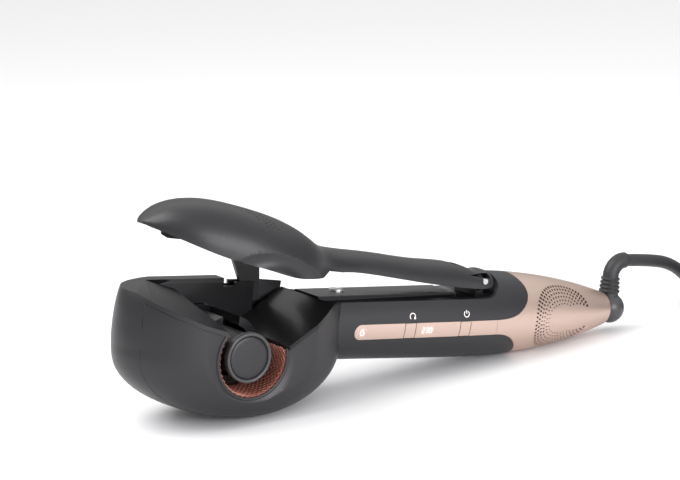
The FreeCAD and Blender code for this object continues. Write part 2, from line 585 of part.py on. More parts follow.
# ---- rear ------------------------------------------------------------------------------------------
def rear_pieces():
    """Gold cone, the dark sleeve behind its vents, power board, socket, swivel and strain relief."""
    cone = handle_envelope().cut(handle_envelope(CONE_WALL)).common(cone_space()).cut(deck_cutter())
    sleeve = handle_envelope(CONE_WALL + 0.4).cut(handle_envelope(CONE_WALL + 1.2))
    sleeve = sleeve.common(box(SLEEVE_X, SOCKET_X[0] - 3, -50, 50, -50, 80))
    socket = handle_envelope(CONE_WALL).common(box(SOCKET_X[0], SOCKET_X[1], -50, 50, -50, 80))
    axis_start = vec(SOCKET_X[0] - 2.5, 0, HANDLE_Z)
    socket = socket.cut(rod(JOURNAL_R + RUN_FIT, axis_start, X_AXIS, 30))
    ball = Part.makeSphere(KNUCKLE_R, vec(KNUCKLE_X, 0, HANDLE_Z))
    ball = ball.cut(box(0, SOCKET_X[1] + 0.7, -50, 50, -50, 80))
    journal = rod(JOURNAL_R, axis_start, X_AXIS, KNUCKLE_X - axis_start.x)
    flange = rod(FLANGE_R, axis_start - vec(1.8, 0, 0), X_AXIS, 2.2)
    knuckle = ball.fuse(journal).fuse(flange)
    foot = vec(RELIEF_X, 0, HANDLE_Z)
    straight = RELIEF_BEND_Z - HANDLE_Z
    relief = Part.makeCone(RELIEF_FOOT_R, RELIEF_BEND_TUBE_R, straight, foot, Z_AXIS)
    for i in range(RELIEF_RIBS):
        z = HANDLE_Z + KNUCKLE_R + 0.6 + i * RELIEF_RIB_PITCH
        radius = RELIEF_FOOT_R - (RELIEF_FOOT_R - RELIEF_BEND_TUBE_R) * (z - HANDLE_Z) / straight
        relief = relief.fuse(rod(radius + 0.6, vec(RELIEF_X, 0, z), Z_AXIS, RELIEF_RIB_PITCH * 0.5))
    centre = vec(RELIEF_X + RELIEF_BEND_R, 0, RELIEF_BEND_Z)
    circle = Part.Wire(Part.makeCircle(RELIEF_BEND_TUBE_R, vec(RELIEF_X, 0, RELIEF_BEND_Z), Z_AXIS))
    elbow = Part.Face(circle).revolve(centre, Y_AXIS, 90)
    relief = relief.fuse(elbow).cut(ball).cut(journal)
    board = box(POWER_BOARD_X[0], POWER_BOARD_X[1], -12, 12, HANDLE_Z - 6, HANDLE_Z - 4.4)
    shelf = handle_envelope(WALL).common(box(POWER_BOARD_X[0] + 0.5, SLEEVE_X - 1, -7, 7, -50, HANDLE_Z - 6))
    return {
        "rear_cone": cone,
        "vent_sleeve": sleeve,
        "swivel_socket": socket,
        "swivel_knuckle": knuckle,
        "strain_relief": largest(relief),
        "power_board": board,
        "board_post": largest(shelf),
    }


# ---- cord ------------------------------------------------------------------------------------------
def cord_tube(points, label):
    """Straight runs joined by tangent arcs, each as large as its two runs allow."""
    edges = []
    start = points[0]
    radii = []
    for before, corner, after in zip(points, points[1:], points[2:]):
        into, out = corner - before, after - corner
        half_turn = into.getAngle(out) / 2
        shorter = min(into.Length, out.Length)
        setback = 0.45 * shorter
        radii.append(setback / math.tan(half_turn))
        into, out = into.normalize(), out.normalize()
        first, last = corner - into * setback, corner + out * setback
        bisector = (out - into).normalize()
        reach = radii[-1] / math.cos(half_turn) - radii[-1]
        edges += [Part.LineSegment(start, first).toShape(), Part.Arc(first, corner + bisector * reach, last).toShape()]
        start = last
    edges.append(Part.LineSegment(start, points[-1]).toShape())
    path = Part.Wire(edges)
    ring = Part.Wire(Part.makeCircle(CORD_D / 2, points[0], points[1] - points[0]))
    solid = path.makePipeShell([ring], True, False)
    expected = math.pi * CORD_D ** 2 / 4 * path.Length
    print(label, "length %.0f smallest radius %.0f volume ratio %.4f"
          % (path.Length, min(radii), solid.Volume / expected))
    return solid


def plug_shapes():
    """Flat plug body along -X, from the cord at the origin to its face, and its two round pins."""
    half_width, half_height = PLUG_HALF
    neck = Part.makeCone(CORD_D / 2 + 0.9, half_height * 0.85, 14, vec(0, 0, 0), vec(-1, 0, 0))
    sections = []
    for along, across, up in [(10, 0.45, 0.9), (18, 0.8, 1.0), (PLUG_LENGTH, 1.0, 1.0)]:
        corners = []
        for i in range(16):
            t = 2 * math.pi * i / 16
            c, s = math.cos(t), math.sin(t)
            corners.append(vec(-along, half_width * across * math.copysign(abs(c) ** 0.6, c),
                               half_height * up * math.copysign(abs(s) ** 0.6, s)))
        sections.append(Part.Wire(smooth(corners, True).toShape()))
    pins = [rod(PLUG_PIN_R, vec(-PLUG_LENGTH, side * PLUG_PIN_SPACING / 2, 0), vec(-1, 0, 0), PLUG_PIN_LENGTH)
            for side in (-1, 1)]
    return Part.makeLoft(sections, True, True).fuse(neck), Part.makeCompound(pins)


def cord_pieces():
    """Lead, put-away coil with its tie, tail and plug, all lying on the table."""
    exit_point = rest_point(RELIEF_X + RELIEF_BEND_R, 0, RELIEF_BEND_Z + RELIEF_BEND_R)
    heading = rest_point(RELIEF_X + RELIEF_BEND_R + 1, 0, RELIEF_BEND_Z + RELIEF_BEND_R) - exit_point
    cx, cy = COIL_CENTRE
    turns_wide = COIL_TURNS_ACROSS * CORD_D
    outer = COIL_MID_R + turns_wide / 2
    lay_r = outer - CORD_D / 2
    floor = CORD_D / 2 + 0.05
    height = COIL_TURNS_HIGH * CORD_D
    lead = [exit_point, exit_point + heading * 17.0] + [vec(*p) for p in LEAD_POINTS]
    lead.append(vec(cx, cy + lay_r, floor))
    tail = [vec(cx, cy + lay_r, height - CORD_D / 2)] + [vec(cx + out, cy + over, up) for out, over, up in TAIL_POINTS]
    coil = tube(outer, outer - turns_wide, vec(cx, cy, 0), Z_AXIS, height)
    tie_r = COIL_MID_R
    tie_box = box(cx - 6, cx + 6, cy + tie_r - turns_wide / 2 - 1.2, cy + tie_r + turns_wide / 2 + 1.2, 0, height + 1.2)
    tie_box.rotate(vec(cx, cy, 0), Z_AXIS, TIE_ANGLE)
    tie = tie_box.cut(coil)
    plug, pins = plug_shapes()
    for shape in (plug, pins):
        shape.rotate(vec(0, 0, 0), Z_AXIS, 90)
        shape.translate(tail[-1])
    return {
        "cord_lead": cord_tube(lead, "lead"),
        "cord_tail": cord_tube(tail, "tail"),
        "cord_coil": coil,
        "cord_tie": tie,
        "plug_body": plug,
        "plug_pins": pins,
    }


def main():
    device = {}
    for group in (head_pieces, chamber_pieces, drive_pieces, handle_pieces, deck_pieces, lid_pieces, rear_pieces):
        device.update(group())
    placed = {name: rest(shape) for name, shape in device.items()}
    table = box(-200, 400, -200, 200, -50, 0)
    for name in ("near_side_cover", "centre_band", "far_side_cover", "near_handle_shell", "far_handle_shell",
                 "rear_cone"):
        placed[name] = placed[name].cut(table)
    placed.update(cord_pieces())
    os.makedirs("parts", exist_ok=True)
    for name, shape in placed.items():
        shape.exportStep("parts/%s.step" % name)
        print("%-20s valid %s solids %d volume %.0f" % (name, shape.isValid(), len(shape.Solids), shape.Volume))


main()
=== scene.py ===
"""Looks of an automatic hair curler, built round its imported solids."""

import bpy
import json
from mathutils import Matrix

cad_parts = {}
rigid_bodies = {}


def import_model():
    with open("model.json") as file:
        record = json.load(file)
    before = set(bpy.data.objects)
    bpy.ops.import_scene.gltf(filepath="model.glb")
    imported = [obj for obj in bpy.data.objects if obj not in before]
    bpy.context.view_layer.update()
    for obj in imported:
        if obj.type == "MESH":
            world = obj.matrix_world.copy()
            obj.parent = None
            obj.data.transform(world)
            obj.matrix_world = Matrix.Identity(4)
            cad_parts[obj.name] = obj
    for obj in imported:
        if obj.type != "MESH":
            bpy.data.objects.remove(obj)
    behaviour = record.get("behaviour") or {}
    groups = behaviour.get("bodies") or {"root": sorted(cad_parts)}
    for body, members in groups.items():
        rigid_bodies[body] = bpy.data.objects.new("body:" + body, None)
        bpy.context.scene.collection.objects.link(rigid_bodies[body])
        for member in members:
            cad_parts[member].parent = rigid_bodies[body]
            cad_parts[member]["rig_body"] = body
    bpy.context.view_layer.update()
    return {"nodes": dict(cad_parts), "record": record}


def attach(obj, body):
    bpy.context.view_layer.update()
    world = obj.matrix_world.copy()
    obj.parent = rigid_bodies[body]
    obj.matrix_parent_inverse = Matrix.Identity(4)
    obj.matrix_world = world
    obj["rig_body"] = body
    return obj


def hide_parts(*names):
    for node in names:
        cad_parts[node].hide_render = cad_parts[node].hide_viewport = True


bl_info = {
    "name": "Hair curler looks",
    "version": (1, 0, 0),
    "blender": (4, 5, 0),
    "location": "3D View > Sidebar > Curler",
    "description": "Finishes, cord and fine details of an automatic hair curler",
    "category": "Object",
}

import json
import math

import bmesh
import bpy
import numpy as np
from mathutils import Matrix, Vector

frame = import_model()

MM = 0.001

# Device frame, in mm: origin at the centre of the curl chamber, X towards the cord, Y across with the
# open side at -Y, Z up. It is tipped and lifted to lie on the table.
REST_TILT = math.radians(7.4)
CHAMBER_HEIGHT = 31.8
BELLY_X = 14.2

# Head outline
HEAD_X = 4.0
HEAD_HALF_LENGTH = 59.0
HEAD_UPPER = 44.0
HEAD_HALF_WIDTH = 31.0
PLAN_HALF_WIDTH = 36.0
SIDE_ROUND = 31.9
HEAD_DEPTH = 31.0

# Handle profile: station along X, radius
HANDLE_Z = 11.4
HANDLE_RIM = ((30.0, 20.0), (60.0, 20.0), (130.0, 21.8), (163.0, 21.5), (197.0, 17.8), (235.0, 8.8))

# Chamber
CHAMBER_R = 18.0
CAP_RING_R = 12.0
CAP_DISC_R = 10.0
CAP_FACE_Y = -27.0
CAP_RING_T = 3.0

# Control strip
STRIP_Z = 8.1
DISPLAY_X = 105.0
MODE_X = 67.0


# ---- placing ---------------------------------------------------------------------------------------
def rest(points):
    """Device points in mm to the table frame in metres: turned by the tilt about Y, then shifted."""
    x, y, z = np.moveaxis(np.asarray(points, float), -1, 0)
    c, s = math.cos(REST_TILT), math.sin(REST_TILT)
    return np.stack((x * c + z * s - BELLY_X, y, z * c - x * s + CHAMBER_HEIGHT), -1) * MM


def device(points):
    """Table points in metres back to device millimetres."""
    x, y, z = np.moveaxis(np.asarray(points, float) / MM, -1, 0)
    x, z = x + BELLY_X, z - CHAMBER_HEIGHT
    c, s = math.cos(REST_TILT), math.sin(REST_TILT)
    return np.stack((x * c - z * s, y, x * s + z * c), -1)


def turn(vectors):
    """Device directions to table directions."""
    x, y, z = np.moveaxis(vectors, -1, 0)
    c, s = math.cos(REST_TILT), math.sin(REST_TILT)
    return np.stack((x * c + z * s, y, z * c - x * s), -1)


def unit(vectors):
    """Vectors scaled to length 1; a zero vector stays near zero."""
    return vectors / np.maximum(np.linalg.norm(vectors, axis=-1, keepdims=True), 1e-12)


# ---- formulas of the outer surfaces ----------------------------------------------------------------
def spline_bends(xs, ys):
    """Second derivatives of the natural cubic spline through the stations."""
    n, h = len(xs), np.diff(xs)
    system, right = np.eye(n), np.zeros(n)
    for i in range(1, n - 1):
        system[i, i - 1:i + 2] = h[i - 1], 2 * (h[i - 1] + h[i]), h[i]
        right[i] = 6 * ((ys[i + 1] - ys[i]) / h[i] - (ys[i] - ys[i - 1]) / h[i - 1])
    return np.linalg.solve(system, right)


def spline_at(stations, x):
    """Value and slope of the natural cubic spline through the stations, at every x."""
    xs, ys = np.array(stations, float).T
    bends = spline_bends(xs, ys)
    x = np.clip(x, xs[0], xs[-1])
    i = np.clip(np.searchsorted(xs, x) - 1, 0, len(xs) - 2)
    h, a, b = xs[i + 1] - xs[i], xs[i + 1] - x, x - xs[i]
    low, high = ys[i] / h - bends[i] * h / 6, ys[i + 1] / h - bends[i + 1] * h / 6
    value = (bends[i] * a ** 3 + bends[i + 1] * b ** 3) / (6 * h) + low * a + high * b
    slope = (bends[i + 1] * b ** 2 - bends[i] * a ** 2) / (2 * h) - low + high
    return value, slope


def handle_normal(p):
    """Distance hypot(y, z) - r(x) from the handle's surface of revolution, and its outward direction
    (-r'(x), y, z) there."""
    x, y, z = p[..., 0], p[..., 1], p[..., 2] - HANDLE_Z
    radius, slope = spline_at(HANDLE_RIM, x)
    across = np.hypot(y, z)
    safe = np.maximum(across, 1e-9)
    return across - radius, unit(np.stack((-slope, y / safe, z / safe), -1))


def head_level(p):
    """1 on the head's surface. Below the axis it is sqrt((x / L)^2 + (z / D)^2), above it is
    ((x / L)^4 + (z / HEAD_UPPER)^4)^(1/4), where L = HEAD_HALF_LENGTH * sqrt(1 - (y / PLAN_HALF_WIDTH)^2)
    and D = HEAD_DEPTH * (1 - |y / SIDE_ROUND|^4)^(1/4)."""
    x, y, z = p[..., 0] - HEAD_X, p[..., 1], p[..., 2]
    length = HEAD_HALF_LENGTH * np.sqrt(np.maximum(1 - (y / PLAN_HALF_WIDTH) ** 2, 1e-6))
    depth = HEAD_DEPTH * np.maximum(1 - np.abs(y / SIDE_ROUND) ** 4, 1e-6) ** 0.25
    below = np.sqrt((x / length) ** 2 + (z / depth) ** 2)
    above = ((x / length) ** 4 + (z / HEAD_UPPER) ** 4) ** 0.25
    return np.where(z < 0, below, above)


def head_normal(p):
    """Distance from the head's curved surface and its outward direction, from the level's slopes."""
    step = 0.02
    slopes = []
    for axis in np.eye(3):
        slopes.append((head_level(p + step * axis) - head_level(p - step * axis)) / (2 * step))
    gradient = np.stack(slopes, -1)
    steepness = np.linalg.norm(gradient, axis=-1)
    return (head_level(p) - 1) / np.maximum(steepness, 1e-6), unit(gradient)


# ---- meshes ----------------------------------------------------------------------------------------
# Vertices closer than this are one, in metres
WELD = 2e-6
# Pull of large faces on a corner's normal, out of 100
FACE_WEIGHT = 80


def grid(points, close_u=False, close_v=False):
    """Corner array (u, v, 3) to vertices and quads; a closed direction joins its last row to its first."""
    nu, nv = points.shape[:2]
    index = np.arange(nu * nv).reshape(nu, nv)
    if close_u:
        index = np.concatenate((index, index[:1]), 0)
    if close_v:
        index = np.concatenate((index, index[:, :1]), 1)
    quads = np.stack((index[:-1, :-1], index[1:, :-1], index[1:, 1:], index[:-1, 1:]), -1)
    return points.reshape(-1, 3), quads.reshape(-1, 4)


def join(parts):
    """Several (vertices, quads) put into one."""
    vertices, quads, start = [], [], 0
    for part_vertices, part_quads in parts:
        vertices.append(part_vertices)
        quads.append(part_quads + start)
        start += len(part_vertices)
    return np.concatenate(vertices), np.concatenate(quads)


def tube(path, radius, sides=10, up=(0.0, 0.0, 1.0)):
    """Circle path + r * (cos a * side + sin a * over) carried along a path, its ends drawn to points."""
    path = np.asarray(path, float)
    along = unit(np.gradient(path, axis=0))
    side = unit(np.cross(along, up))
    over = np.cross(side, along)
    angle = np.linspace(0, 2 * math.pi, sides, endpoint=False)
    ring = np.cos(angle)[None, :, None] * side[:, None] + np.sin(angle)[None, :, None] * over[:, None]
    radii = np.broadcast_to(radius, len(path))[:, None, None]
    body = path[:, None] + ring * radii
    first, last = np.repeat(path[:1, None], sides, 1), np.repeat(path[-1:, None], sides, 1)
    return grid(np.concatenate((first, body, last)), close_v=True)


def revolve_y(profile, steps=96):
    """Profile of (y, r) turned about the Y axis: x = r * cos a, z = r * sin a."""
    profile = np.asarray(profile, float)
    angle = np.linspace(0, 2 * math.pi, steps, endpoint=False)
    x, z = profile[:, None, 1] * np.cos(angle), profile[:, None, 1] * np.sin(angle)
    y = np.broadcast_to(profile[:, None, 0], x.shape)
    return grid(np.stack((x, y, z), -1), close_v=True)


def dress(obj, body, finish):
    """Gives a piece its body and its material."""
    obj.data.materials.clear()
    obj.data.materials.append(finish)
    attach(obj, body)
    return obj


def link(name, mesh):
    """A new object in the scene that carries the mesh, curve, lamp or camera."""
    obj = bpy.data.objects.new(name, mesh)
    bpy.context.scene.collection.objects.link(obj)
    return obj


def piece(name, shape, body, finish, sharp=35.0):
    """A new piece from (vertices, quads) in device mm: welded, faced outwards, smooth between edges."""
    vertices, quads = shape
    mesh = bpy.data.meshes.new(name)
    mesh.from_pydata(rest(vertices).tolist(), [], quads.tolist())
    bm = bmesh.new()
    bm.from_mesh(mesh)
    bmesh.ops.remove_doubles(bm, verts=bm.verts, dist=WELD)
    bmesh.ops.dissolve_degenerate(bm, edges=bm.edges, dist=1e-7)
    bmesh.ops.recalc_face_normals(bm, faces=bm.faces)
    bm.to_mesh(mesh)
    bm.free()
    mesh.shade_smooth()
    mesh.set_sharp_from_angle(angle=math.radians(sharp))
    return dress(link(name, mesh), body, finish)


def welded(node):
    """Welded copy of a CAD node's mesh."""
    mesh = frame["nodes"][node].data.copy()
    bm = bmesh.new()
    bm.from_mesh(mesh)
    bmesh.ops.remove_doubles(bm, verts=bm.verts, dist=WELD)
    bmesh.ops.dissolve_degenerate(bm, edges=bm.edges, dist=5e-7)
    bm.to_mesh(mesh)
    bm.free()
    return mesh


def carve(mesh, cutter_shape):
    """The mesh with the cutter's closed shapes taken out of it."""
    body = link("carve_body", mesh)
    vertices, quads = cutter_shape
    cutter_mesh = bpy.data.meshes.new("carve_cutter")
    cutter_mesh.from_pydata(rest(vertices).tolist(), [], quads.tolist())
    bm = bmesh.new()
    bm.from_mesh(cutter_mesh)
    bmesh.ops.remove_doubles(bm, verts=bm.verts, dist=1e-7)
    bmesh.ops.recalc_face_normals(bm, faces=bm.faces)
    bm.to_mesh(cutter_mesh)
    bm.free()
    cutter = link("carve_tool", cutter_mesh)
    cut = body.modifiers.new("cut", "BOOLEAN")
    cut.operation = "DIFFERENCE"
    cut.solver = "MANIFOLD"
    cut.object = cutter
    bpy.context.view_layer.update()
    carved = bpy.data.meshes.new_from_object(body.evaluated_get(bpy.context.evaluated_depsgraph_get()))
    bpy.data.objects.remove(body)
    bpy.data.objects.remove(cutter)
    if len(carved.polygons) == 0:
        raise RuntimeError("the cut left nothing")
    return carved


def even_shading(mesh, sharp):
    """Smooth shading between edges, each corner's normal weighted towards its large flat faces."""
    mesh.shade_smooth()
    mesh.set_sharp_from_angle(angle=math.radians(sharp))
    obj = link("shading", mesh)
    weighted = obj.modifiers.new("weighted", "WEIGHTED_NORMAL")
    weighted.keep_sharp = True
    weighted.weight = FACE_WEIGHT
    bpy.context.view_layer.update()
    even = bpy.data.meshes.new_from_object(obj.evaluated_get(bpy.context.evaluated_depsgraph_get()))
    bpy.data.objects.remove(obj)
    return even


def shade_by_formula(mesh, outward, reach=0.25, lean=0.96):
    """Corners of faces that lie on the formula's surface take its exact direction as their normal."""
    count = len(mesh.loops)
    normals = np.zeros(count * 3, np.float32)
    mesh.corner_normals.foreach_get("vector", normals)
    corners = np.zeros(count, np.int32)
    mesh.loops.foreach_get("vertex_index", corners)
    places = np.zeros(len(mesh.vertices) * 3, np.float32)
    mesh.vertices.foreach_get("co", places)
    starts, totals = np.zeros((2, len(mesh.polygons)), np.int32)
    mesh.polygons.foreach_get("loop_start", starts)
    mesh.polygons.foreach_get("loop_total", totals)
    flat = np.zeros(len(mesh.polygons) * 3, np.float32)
    mesh.polygons.foreach_get("normal", flat)
    order = np.argsort(starts, kind="stable")
    face_of = np.repeat(order, totals[order])
    normals, flat = normals.reshape(-1, 3), flat.reshape(-1, 3)
    distance, direction = outward(device(places.reshape(-1, 3)[corners]))
    direction = turn(direction)
    on_surface = (np.abs(distance) < reach) & ((direction * flat[face_of]).sum(-1) > lean)
    whole = np.bincount(face_of, on_surface, len(mesh.polygons)) >= totals - 0.5
    chosen = whole[face_of]
    normals[chosen] = direction[chosen]
    mesh.normals_split_custom_set(normals.tolist())


def stand_in(name, node, finish, outward=None, cutter=None, sharp=32.0):
    """A smooth copy of a CAD node that replaces it."""
    mesh = welded(node)
    if cutter is not None:
        mesh = carve(mesh, cutter)
    mesh = even_shading(mesh, sharp)
    mesh.name = name
    if outward:
        shade_by_formula(mesh, outward)
    obj = dress(link(name, mesh), body_of(node), finish)
    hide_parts(node)
    return obj


def body_of(node):
    """Name of the body that a CAD node rides on."""
    return frame["nodes"][node]["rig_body"]


# ---- shader expressions ----------------------------------------------------------------------------
class Field:
    """A node socket; arithmetic on it adds Math nodes."""

    def __init__(self, finish, socket):
        self.finish, self.socket = finish, socket

    def _math(self, operation, other):
        return self.finish.node("ShaderNodeMath", {"operation": operation}, {0: self, 1: other})

    def __add__(self, other):
        return self._math("ADD", other)

    def __sub__(self, other):
        return self._math("SUBTRACT", other)

    def __mul__(self, other):
        return self._math("MULTIPLY", other)


class Finish:
    """One material under construction round its Principled shader."""

    def __init__(self, name, colour, roughness, constants=None):
        self.material = bpy.data.materials.new(name)
        self.material.use_nodes = True
        self.tree = self.material.node_tree
        self.shader = self.tree.nodes["Principled BSDF"]
        self.material.diffuse_color = (*colour, 1.0)
        self.put("Base Color", (*colour, 1.0))
        self.put("Roughness", roughness)
        for socket, value in (constants or {}).items():
            self.put(socket, value)
        self.place = self.node("ShaderNodeTexCoord", output="Object")

    def _feed(self, socket, value):
        """Links a Field to the socket, or sets its constant."""
        if isinstance(value, Field):
            self.tree.links.new(value.socket, socket)
        else:
            socket.default_value = value

    def put(self, socket, value):
        """Sets or links a socket of the shader."""
        self._feed(self.shader.inputs[socket], value)

    def node(self, kind, settings=None, inputs=None, output=0):
        """Adds a node: its settings first, then the values or links of its sockets."""
        made = self.tree.nodes.new(kind)
        for name, value in (settings or {}).items():
            setattr(made, name, value)
        for name, value in (inputs or {}).items():
            self._feed(made.inputs[name], value)
        return Field(self, made.outputs[output])

    def noise(self, scale, detail=3.0, stretch=None):
        """Noise in the object's own space, drawn out along an axis where stretch is small."""
        place = self.place
        if stretch:
            place = self.node("ShaderNodeMapping", None, {"Vector": place, "Scale": stretch})
        return self.node("ShaderNodeTexNoise", None, {"Vector": place, "Scale": scale, "Detail": detail})

    def blend(self, factor, first, second):
        """Colour between two colours."""
        inputs = {0: factor, 6: (*first, 1.0), 7: (*second, 1.0)}
        return self.node("ShaderNodeMix", {"data_type": "RGBA"}, inputs, output=2)

    def bump(self, height, strength, distance):
        """Relief of the height field, its distance in metres."""
        inputs = {"Height": height, "Strength": strength, "Distance": distance}
        self.put("Normal", self.node("ShaderNodeBump", None, inputs))


# Scale of each finish's pattern, per metre
GRAIN, CLOUDS = 2600.0, 22.0
FLAKES, FLAKE_CLOUDS = 4200.0, 16.0
DRAWN_LINES = 900.0
SIGN_UNEVEN = 700.0
PAPER_FIBRE = 40.0


def moulded(name, colour, roughness, grain=0.12, depth=0.000012, constants=None):
    """Moulded plastic: spark-eroded grain, slightly uneven gloss and tone."""
    finish = Finish(name, colour, roughness, constants)
    fine, broad = finish.noise(GRAIN, 2.0), finish.noise(CLOUDS, 3.0)
    lighter = [min(1.0, channel * 1.22 + 0.001) for channel in colour]
    darker = [channel * 0.84 for channel in colour]
    finish.put("Base Color", finish.blend(broad * 0.6 + fine * 0.4, darker, lighter))
    finish.put("Roughness", (broad - 0.5) * grain + (fine - 0.5) * grain * 0.6 + roughness)
    finish.bump(fine, 0.35, depth)
    return finish.material


def lacquered(name, colour, roughness, metallic=1.0):
    """Satin metallic lacquer: fine flakes that vary the tone and the gloss."""
    finish = Finish(name, colour, roughness, {"Metallic": metallic, "Coat Roughness": 0.25})
    flake, cloud = finish.noise(FLAKES, 1.0), finish.noise(FLAKE_CLOUDS, 2.0)
    lighter = [min(1.0, channel * 1.12) for channel in colour]
    darker = [channel * 0.88 for channel in colour]
    finish.put("Base Color", finish.blend(flake * 0.7 + cloud * 0.3, darker, lighter))
    finish.put("Roughness", (flake - 0.5) * 0.16 + (cloud - 0.5) * 0.06 + roughness)
    finish.put("Coat Weight", 0.25)
    finish.bump(flake, 0.2, 0.000006)
    return finish.material


def brushed(name, colour, roughness):
    """Metal with drawn lines along the part."""
    finish = Finish(name, colour, roughness, {"Metallic": 1.0})
    lines = finish.noise(DRAWN_LINES, 4.0, stretch=(0.06, 1.0, 1.0))
    finish.put("Roughness", (lines - 0.5) * 0.25 + roughness)
    finish.put("Base Color", finish.blend(lines, [c * 0.85 for c in colour], colour))
    finish.bump(lines, 0.3, 0.00001)
    return finish.material


def glowing(name, colour, strength):
    """Sign that gives off its own uneven light: a back-lit sign, or print given a painted glow."""
    finish = Finish(name, (0.8, 0.75, 0.72), 0.4, {"Emission Strength": strength})
    light = finish.noise(SIGN_UNEVEN, 2.0)
    finish.put("Emission Color", finish.blend(light, [c * 0.85 for c in colour], colour))
    return finish.material


SATIN_COAT = {"Coat Weight": 0.06, "Coat Roughness": 0.22}
POLISHED_COAT = {"Coat Weight": 0.1, "Coat Roughness": 0.1, "Specular IOR Level": 0.3}


def make_finishes():
    """Every finish by its slot name."""
    return {
        "dark_shell": moulded("satin_dark_plastic", tuple(tones().shell), 0.42, constants=SATIN_COAT),
        "gloss_black": moulded("polished_black_plastic", (0.006, 0.006, 0.007), 0.28, 0.05, 0.000004,
                               POLISHED_COAT),
        "rose_gold": lacquered("rose_gold_lacquer", tuple(tones().gold), 0.38, 0.75),
        "copper_mesh": lacquered("woven_copper", (0.56, 0.27, 0.21), 0.42, 0.8),
        "dark_grey": moulded("dark_grey_plastic", (0.014, 0.014, 0.0155), 0.42),
        "grey_ring": moulded("grey_ring_plastic", (0.05, 0.05, 0.054), 0.34),
        "aluminium": brushed("turned_aluminium", (0.86, 0.86, 0.87), 0.42),
        "steel": brushed("drawn_steel", (0.6, 0.6, 0.62), 0.33),
        "gear_plastic": moulded("natural_gear_plastic", (0.62, 0.6, 0.54), 0.45),
        "board_green": moulded("solder_mask_green", (0.02, 0.11, 0.05), 0.35),
        "lens": lacquered("clear_lens_on_gold", (0.62, 0.44, 0.37), 0.16, 0.6),
        "ceramic_white": moulded("fired_ceramic", (0.75, 0.72, 0.68), 0.55),
        "cord_rubber": moulded("cord_rubber_grey", (0.022, 0.022, 0.0235), 0.5, 0.1, 0.00002),
        "brass": brushed("nickelled_brass", (0.7, 0.64, 0.5), 0.28),
    }


def sizes():
    """The scene's settings of the details."""
    return bpy.context.scene.curler_sizes


def tones():
    """The scene's settings of colour and light."""
    return bpy.context.scene.curler_tones


def finish_of(slot_name):
    """The finish of a slot, made on first use."""
    if not FINISHES:
        FINISHES.update(make_finishes())
    return FINISHES[slot_name]


FINISHES = {}
SLOT_OF = {part["node"]: part["material_slot"] for part in frame["record"]["subparts"]}


# ---- settings --------------------------------------------------------------------------------------
class CurlerSizes(bpy.types.PropertyGroup):
    """Sizes of the details that are made here."""
    wire_pitch: bpy.props.FloatProperty(
        name="Wire pitch", description="Spacing of the woven wires, mm", default=1.5)
    wire_r: bpy.props.FloatProperty(
        name="Wire radius", description="Radius of a woven wire, mm", default=0.3)
    vent_rows: bpy.props.IntProperty(
        name="Vent rows", description="Nested rows of vents on each side", default=6)
    vent_pitch: bpy.props.FloatProperty(
        name="Vent pitch", description="Spacing of vents along a row, mm", default=2.1)
    vent_half: bpy.props.FloatProperty(
        name="Vent half width", description="Half width of an outer vent, mm", default=0.72)
    dimple_r: bpy.props.FloatProperty(
        name="Dimple radius", description="Radius of the lid's dimples, mm", default=0.85)
    sign_width: bpy.props.FloatProperty(
        name="Sign stroke", description="Stroke width of the signs, mm", default=0.42)
    groove_r: bpy.props.FloatProperty(
        name="Seam groove", description="Radius of the groove along a seam, mm", default=0.24)
    cord_d: bpy.props.FloatProperty(
        name="Cord diameter", description="Diameter of the cord", default=0.0068, unit="LENGTH")


class CurlerTones(bpy.types.PropertyGroup):
    """Colours and light."""
    shell: bpy.props.FloatVectorProperty(
        name="Shell", description="Dark shell plastic", subtype="COLOR", default=(0.0095, 0.0092, 0.0112))
    gold: bpy.props.FloatVectorProperty(
        name="Rose gold", description="Lacquer of cone and strip", subtype="COLOR",
        default=(0.57, 0.425, 0.36))
    glow: bpy.props.FloatVectorProperty(
        name="Sign light", description="Back light of the signs", subtype="COLOR", default=(1.0, 0.86, 0.8))
    sky: bpy.props.FloatProperty(
        name="Room light", description="Even light of the pale room", default=0.4)
    ceiling: bpy.props.FloatProperty(
        name="Ceiling", description="Power of the wide ceiling light", default=292.0, unit="POWER")
    key: bpy.props.FloatProperty(
        name="Key light", description="Power of the soft key light", default=7.0, unit="POWER")
    front: bpy.props.FloatProperty(
        name="Front light", description="Power of the front softbox", default=16.0, unit="POWER")


# ---- stage -----------------------------------------------------------------------------------------
FOCAL_MM = 105.88
SENSOR_MM = 36.0
CAMERA_AT = (-0.46738, -0.79232, 0.27668)
CAMERA_YAW = math.radians(33.7)
CAMERA_PITCH = math.radians(11.1)
CAMERA_LEAN = math.radians(1.8)
FLOOR_HALF = 6.0
# Soft lights: where each one hangs, what it is turned to, and its two sides, in metres
CEILING = ((0.0, 0.6, 3.2), (0.0, 0.6, 0.0), (12.0, 12.0))
KEY = ((-0.45, 0.25, 0.85), (0.06, 0.0, 0.03), (0.9, 0.7))
FRONT = ((0.2, -1.5, 0.42), (0.05, 0.0, 0.04), (1.1, 0.6))
COOL_WHITE = (0.96, 0.96, 1.0)


def camera_matrix():
    """Looks along yaw and pitch, then leans with the table about Y."""
    cy, sy = math.cos(CAMERA_YAW), math.sin(CAMERA_YAW)
    cp, sp = math.cos(CAMERA_PITCH), math.sin(CAMERA_PITCH)
    ahead = Vector((sy * cp, cy * cp, -sp))
    right = Vector((cy, -sy, 0.0))
    up = right.cross(ahead)
    turned = Matrix((right, up, -ahead)).transposed().to_4x4()
    return Matrix.Translation(CAMERA_AT) @ Matrix.Rotation(CAMERA_LEAN, 4, "Y") @ turned


